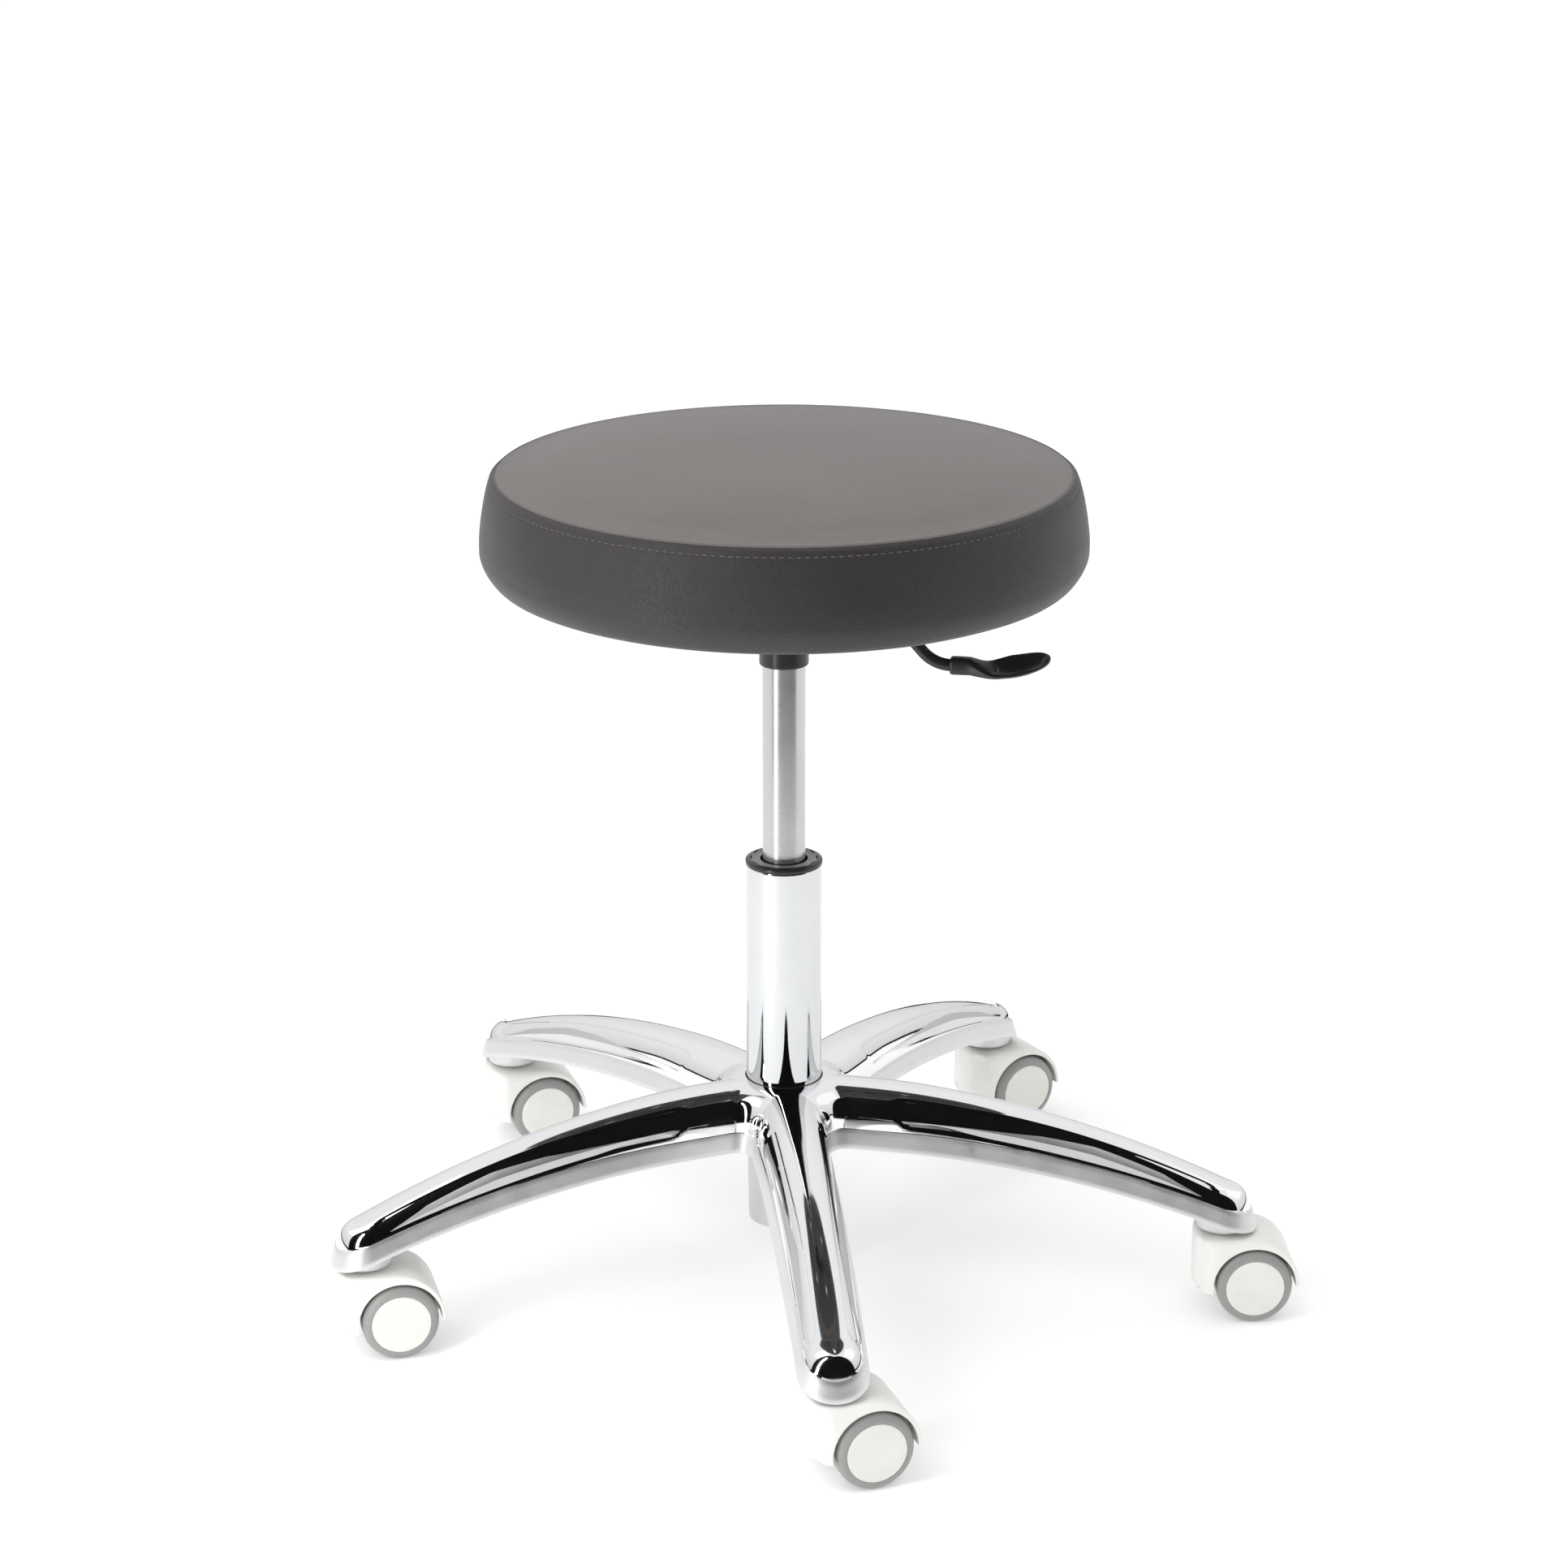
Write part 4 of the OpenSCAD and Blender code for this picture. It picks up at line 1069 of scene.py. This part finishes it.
def swell(point, outward):
    # how far the blown form lies outside the smooth profile there, kept small
    hit = blownForm.ray_cast(point - outward * 0.03, outward, 0.06)
    if hit[0] is None:
        return 0.0
    return (hit[0] - point).dot(outward)


def coverGrid(profile, turns):
    rows = []
    for i, (r, z) in enumerate(profile):
        a = profile[max(i - 1, 0)]
        b = profile[min(i + 1, len(profile) - 1)]
        nr, nz = (a[1] - b[1]), (b[0] - a[0])
        size = math.hypot(nr, nz) or 1
        nr, nz = nr / size, nz / size
        if nr * r + nz * (z - underZ / mm - 30) < 0:
            nr, nz = -nr, -nz
        row = []
        for k in range(turns):
            t = 2 * math.pi * k / turns
            out = Vector((nr * math.cos(t), nr * math.sin(t), nz))
            row.append([Vector((r * math.cos(t), r * math.sin(t), z)) * mm, out])
        rows.append(row)
    return rows


def puffed(rows, fade):
    # the sim's swelling, averaged round each place, added to the clean grid
    turns = len(rows[0])
    lift = [[swell(p, n) if i % 2 == 0 and k % 3 == 0 else None for k, (p, n) in enumerate(row)]
            for i, row in enumerate(rows)]
    for i in range(0, len(rows), 2):
        known = [v for v in lift[i] if v is not None]
        m = len(known)
        smooth = [sum(known[(k + d) % m] for d in range(-5, 6)) / 11 for k in range(m)]
        lift[i] = [smooth[k // 3 % m] * (1 - k % 3 / 3) + smooth[(k // 3 + 1) % m] * (k % 3 / 3)
                   for k in range(turns)]
    for i in range(1, len(rows), 2):
        low, high = lift[i - 1], lift[min(i + 1, len(rows) - 1)]
        high = low if high[0] is None else high
        lift[i] = [(a + b) / 2 for a, b in zip(low, high)]
    every = sorted(v for row in lift for v in row)
    middle = every[len(every) // 2]
    for i, row in enumerate(rows):
        w = fade(i)
        for k, (p, n) in enumerate(row):
            extra = max(-0.0012, min(0.0012, (lift[i][k] - middle) * 0.5))
            soft = noise.noise(p * 13) * 0.0006 + noise.noise(p * 31 + Vector((5, 1, 2))) * 0.00018
            row[k][0] = p + n * (extra + soft) * w
    return rows


def pucker(k, turns):
    # tiny gathers between the stitches round the seam
    count = round(2 * math.pi * cushion["seamRadius"] / cushion["stitchPitch"])
    t = 2 * math.pi * k / turns
    return 0.5 + 0.5 * math.cos(t * count) + 0.8 * noise.noise(Vector((math.cos(t) * 9, math.sin(t) * 9, 3)))


def buildCushion():
    c = cushion
    turns = 720
    side = coverGrid(sideProfile(), turns)
    side = puffed(side, lambda i: smoothStep(0, 10, i) * (1 - smoothStep(48, 57, i)))
    for i, row in enumerate(side):
        down = (side[0][0][0] - row[0][0]).length / mm
        dip = -c["seamDip"] * math.exp(-(down / 1.1) ** 2)
        dip -= 0.30 * math.exp(-((down - c["stitchDrop"]) / 0.9) ** 2)
        dip += 0.35 * math.exp(-((down - 2.6) / 1.5) ** 2)
        for k in range(turns):
            gather = -0.10 * pucker(k, turns) * math.exp(-((down - 4.0) / 4.0) ** 2)
            row[k][0] = row[k][0] + row[k][1] * (dip + gather) * mm
    sideRows = [[p for p, n in row] for row in side]
    hem = [[Vector((p.x * f, p.y * f, underZ + 0.0002 + rise)) for p in sideRows[-1]]
           for f, rise in ((0.97, 0.0), (0.90, 0.0001), (0.88, 0.0006))]
    tuck = [[Vector((p.x * 0.988, p.y * 0.988, p.z - 0.002)) for p in sideRows[0]]]
    rows = tuck + sideRows + hem
    verts = [p for row in rows for p in row]
    cover = addPiece("cushion_side", verts, gridFaces(len(rows), turns, wrap=True))
    solidify(cover, 1.4)
    finishPiece(cover, "seat", ["cover_side"], [coverSideLeather])

    top = coverGrid(crownProfile()[:-1], turns)
    top = puffed(top, lambda i: smoothStep(0, 12, i))
    for i, row in enumerate(top):
        inward = (c["seamRadius"] - row[0][0].xy.length / mm)
        dip = -c["seamDip"] * math.exp(-(inward / 1.0) ** 2) + 0.45 * math.exp(-((inward - 2.0) / 1.3) ** 2)
        dip -= 0.35 * math.exp(-((inward - 9) / 6.0) ** 2)
        for k in range(turns):
            gather = -0.08 * pucker(k, turns) * math.exp(-((inward - 3.0) / 4.0) ** 2)
            row[k][0] = row[k][0] + row[k][1] * (dip + gather) * mm
    topRows = [[p for p, n in row] for row in top]
    tuck = [[Vector((p.x * 0.9965, p.y * 0.9965, p.z - 0.0028)) for p in topRows[0]]]
    rows = tuck + topRows
    verts = [p for row in rows for p in row]
    faces = gridFaces(len(rows), turns, wrap=True)
    centre = sum(topRows[-1], Vector()) / turns
    verts.append(centre)
    last = (len(rows) - 1) * turns
    faces += [(last + k, last + (k + 1) % turns, len(verts) - 1) for k in range(turns)]
    # top panel in the lighter leatherette copy: painted sheen
    panel = addPiece("cushion_top", verts, faces)
    solidify(panel, 1.4)
    finishPiece(panel, "seat", ["cover_top", "seat_foam"], [coverTopLeatherPaintedSheen])
    return sideRows


def solidify(obj, thickness):
    mod = obj.modifiers.new("thickness", "SOLIDIFY")
    mod.thickness = thickness * mm
    mod.offset = -1
    applyModifiers(obj)
    for p in obj.data.polygons:
        p.use_smooth = True


sideRows = buildCushion()
print("cushion built")


def capsule(verts, faces, a, b, radius, up, sides=8):
    # a short thread from a to b that dives into the cover at both ends
    along = (b - a).normalized()
    across = along.cross(up).normalized()
    lift = across.cross(along)
    start = len(verts)
    rings = 7
    for i in range(rings):
        t = i / (rings - 1)
        swellT = math.sin(math.pi * (0.08 + 0.84 * t)) ** 0.5
        centre = a.lerp(b, t) + up * radius * (0.9 * math.sin(math.pi * t) - 0.5)
        for k in range(sides):
            c = 2 * math.pi * k / sides
            verts.append(centre + (across * math.cos(c) + lift * math.sin(c)) * radius * swellT)
    faces += gridFaces(rings, sides, wrap=True, start=start)
    faces.append(tuple(start + k for k in range(sides)))
    faces.append(tuple(start + (rings - 1) * sides + k for k in range(sides)))


def buildSeamDetails():
    # one row of top stitching below the seam, and the folded edge that shows as a thin cord
    c = cushion
    turns = len(sideRows[0])
    row = min(range(len(sideRows)),
              key=lambda i: abs((sideRows[i][0] - sideRows[0][0]).length - c["stitchDrop"] * mm))
    count = round(2 * math.pi * c["seamRadius"] / c["stitchPitch"])
    verts, faces = [], []

    def onRow(t):
        k = (t / (2 * math.pi) * turns) % turns
        i = int(k)
        return sideRows[row][i].lerp(sideRows[row][(i + 1) % turns], k - i)

    for n in range(count):
        t = 2 * math.pi * n / count
        span = c["stitchLength"] / c["stitchPitch"] * math.pi / count
        a, b = onRow(t - span), onRow(t + span)
        tangent = sideRows[row + 1][0] - sideRows[row - 1][0]
        slope = math.atan2(-tangent.z, math.hypot(tangent.x, tangent.y))
        out = Vector((math.cos(t) * math.sin(slope), math.sin(t) * math.sin(slope), math.cos(slope)))
        capsule(verts, faces, a, b, c["thread"] * mm, out)
    stitches = addPiece("seam_stitches", verts, faces)
    finishPiece(stitches, "seat", [], [threadMaterial])

    verts = []
    sides = 10
    for k in range(turns):
        t = 2 * math.pi * k / turns
        p = sideRows[0][k]
        wave = 0.10 * pucker(k, turns)
        for j in range(sides):
            a = 2 * math.pi * j / sides
            r = 0.85
            radial = (r * math.cos(a) - 0.2) * mm
            height = (r * math.sin(a) + 0.1 + wave) * mm
            verts.append(Vector((p.x + math.cos(t) * radial, p.y + math.sin(t) * radial, p.z + height)))
    faces = gridFaces(turns, sides, wrap=True)
    last = (turns - 1) * sides
    faces += [(last + j, last + (j + 1) % sides, (j + 1) % sides, j) for j in range(sides)]
    # the cord takes the lighter leatherette: painted highlight along the seam
    welt = addPiece("seam_welt", verts, faces)
    finishPiece(welt, "seat", ["cover_welt"], [seamEdgeLeatherPaintedHighlight])


buildSeamDetails()


def buildDustCloth():
    # thin cloth stapled under the board, slightly slack between the staples
    turns, rings = 144, 14
    outer = (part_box("bottom_cloth")[1].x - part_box("bottom_cloth")[0].x) / 2
    verts = []
    for i in range(rings):
        r = 0.018 + (outer - 0.018) * i / (rings - 1)
        for k in range(turns):
            t = 2 * math.pi * k / turns
            p = Vector((r * math.cos(t), r * math.sin(t), 0))
            sag = noise.noise(p * 40) * 0.00025 + 0.00018 * math.cos(24 * t) * smoothStep(0.6, 1.0, r / outer)
            verts.append(Vector((p.x, p.y, underZ + 0.0006 + sag * (0 if p.length < 0.11 else 1))))
    cloth = addPiece("dust_cloth", verts, gridFaces(rings, turns, wrap=True))
    solidify(cloth, 0.4)
    finishPiece(cloth, "seat", ["bottom_cloth"], [clothMaterial])
    verts, faces = [], []
    for n in range(24):
        t = 2 * math.pi * (n + 0.5) / 24
        mid = Vector((math.cos(t), math.sin(t), 0)) * (outer - 0.006)
        side = Vector((-math.sin(t), math.cos(t), 0)) * 0.005
        a, b = mid - side + Vector((0, 0, underZ - 0.0001)), mid + side + Vector((0, 0, underZ - 0.0001))
        capsule(verts, faces, a, b, 0.0004, Vector((0, 0, -1)), 6)
    staples = addPiece("cloth_staples", verts, faces)
    finishPiece(staples, "seat", [], [zincSteel])


buildDustCloth()
print("seams, stitches and underside built")


def dressFrame():
    looks = {
        zincSteel: ["bearing_lower_race", "bearing_balls", "bearing_upper_race", "rod_clip", "piston_rod", "pivot_pin",
                    "mount_screws", "t_nuts", "caster_stems", "stem_grip_rings"],
        bushPlastic: ["guide_bush"],
        sealRubber: ["piston", "buffer", "rod_seal"],
        turnedMetal: ["valve_body"],
        capPlastic: ["valve_button"],
        blackCoat: ["mechanism_housing"],
        boardWood: ["seat_board"],
    }
    looks[zincSteel] += [c + "_axle" for c in casterNames]
    for mat, names in looks.items():
        for name in names:
            obj = frame["nodes"][name]
            if not obj.data.materials:
                obj.data.materials.append(mat)
            for i in range(len(obj.material_slots)):
                obj.material_slots[i].material = mat


dressFrame()


studio = {"floor": 30.0, "world": 0.95, "horizon": 0.8, "paperGlow": 0.2, "key": 17, "fill": 2, "strip": 5.0,
          "stripTurn": -43, "stripAway": 0.95, "flagNear": 1.1, "flagHalf": 66, "flagHigh": 3.2, "flagLean": 0.55,
          "edgeAway": 5.0, "edgeHigh": 0.3}


def addAreaLight(name, place, aim, size, power):
    data = bpy.data.lights.new(name, "AREA")
    data.shape = "RECTANGLE"
    data.size, data.size_y = size
    data.energy = power
    light = bpy.data.objects.new(name, data)
    light.location = place
    light.rotation_euler = (Vector(place) - Vector(aim)).to_track_quat("Z", "Y").to_euler()
    light.visible_camera = False
    scene.collection.objects.link(light)


def buildFlag():
    # dark cloth in front of the set, leaning in overhead, and a low dark border round the paper:
    # only glossy rays meet them
    s = studio
    rows, cols = 14, 44
    verts = []
    for i in range(rows):
        up = i / (rows - 1)
        dist = s["flagNear"] - s["flagLean"] * smoothStep(0.35, 1.0, up)
        for k in range(cols + 1):
            a = math.radians(-90 + s["flagHalf"] * (2 * k / cols - 1))
            verts.append((dist * math.cos(a), dist * math.sin(a), 0.004 + s["flagHigh"] * up))
    faces = gridFaces(rows, cols + 1)
    start = len(verts)
    for z in (0.0, s["edgeHigh"]):
        verts += [(s["edgeAway"] * math.cos(math.pi * k / 48), s["edgeAway"] * math.sin(math.pi * k / 48), z)
                  for k in range(96)]
    faces += gridFaces(2, 96, wrap=True, start=start)
    flag = addPiece("dark_flag", verts, faces)
    black = startMaterial("flag_cloth", Roughness=1.0, Base_Color=(0.004, 0.004, 0.004, 1),
                          Specular_IOR_Level=0.0)[0]
    flag.data.materials.append(black)
    for kind in ("visible_camera", "visible_diffuse", "visible_shadow", "visible_transmission"):
        setattr(flag, kind, False)


def buildStudio():
    s = studio
    half = s["floor"] / 2
    verts = [(x, y, 0) for y in (-half, half) for x in (-half, half)]
    floor = addPiece("studio_floor", verts, [(0, 1, 3, 2)])
    mat, tree, shader = startMaterial("floor_paper", Roughness=0.75, Emission_Color=(1, 1, 1, 1),
                                      Emission_Strength=s["paperGlow"])
    cloud = placeGroup(tree, smudges, Scale=1.2)
    tree.links.new(mixColours(tree, cloud.outputs["Value"], (0.9, 0.9, 0.9), (0.93, 0.93, 0.93)),
                   shader.inputs["Base Color"])
    floor.data.materials.append(mat)
    buildFlag()

    # white overhead, greyer towards the horizon
    world = bpy.data.worlds.new("studio")
    scene.world = world
    world.use_nodes = True
    tree = world.node_tree
    coord = addNode(tree, "ShaderNodeTexCoord")
    parts = addNode(tree, "ShaderNodeSeparateXYZ", [("Vector", coord.outputs["Generated"])])
    low = s["horizon"]
    sky = mixColours(tree, parts.outputs["Z"], (low, low, low), (1, 1, 1), 0.05, 0.55)
    tree.links.new(sky, tree.nodes["Background"].inputs["Color"])
    tree.nodes["Background"].inputs["Strength"].default_value = s["world"]
    addAreaLight("key", (-1.6, -0.6, 3.0), (0, 0, 0.3), (2.4, 2.4), s["key"])
    addAreaLight("fill", (2.2, 0.4, 2.2), (0, 0, 0.3), (1.8, 1.8), s["fill"])
    turn = math.radians(-90 + s["stripTurn"])
    x, y = s["stripAway"] * math.cos(turn), s["stripAway"] * math.sin(turn)
    addAreaLight("strip", (x, y, 0.75), (0, 0, 0.75), (0.1, 1.5), s["strip"])


buildStudio()
print("studio ready")

bpy.context.view_layer.update()
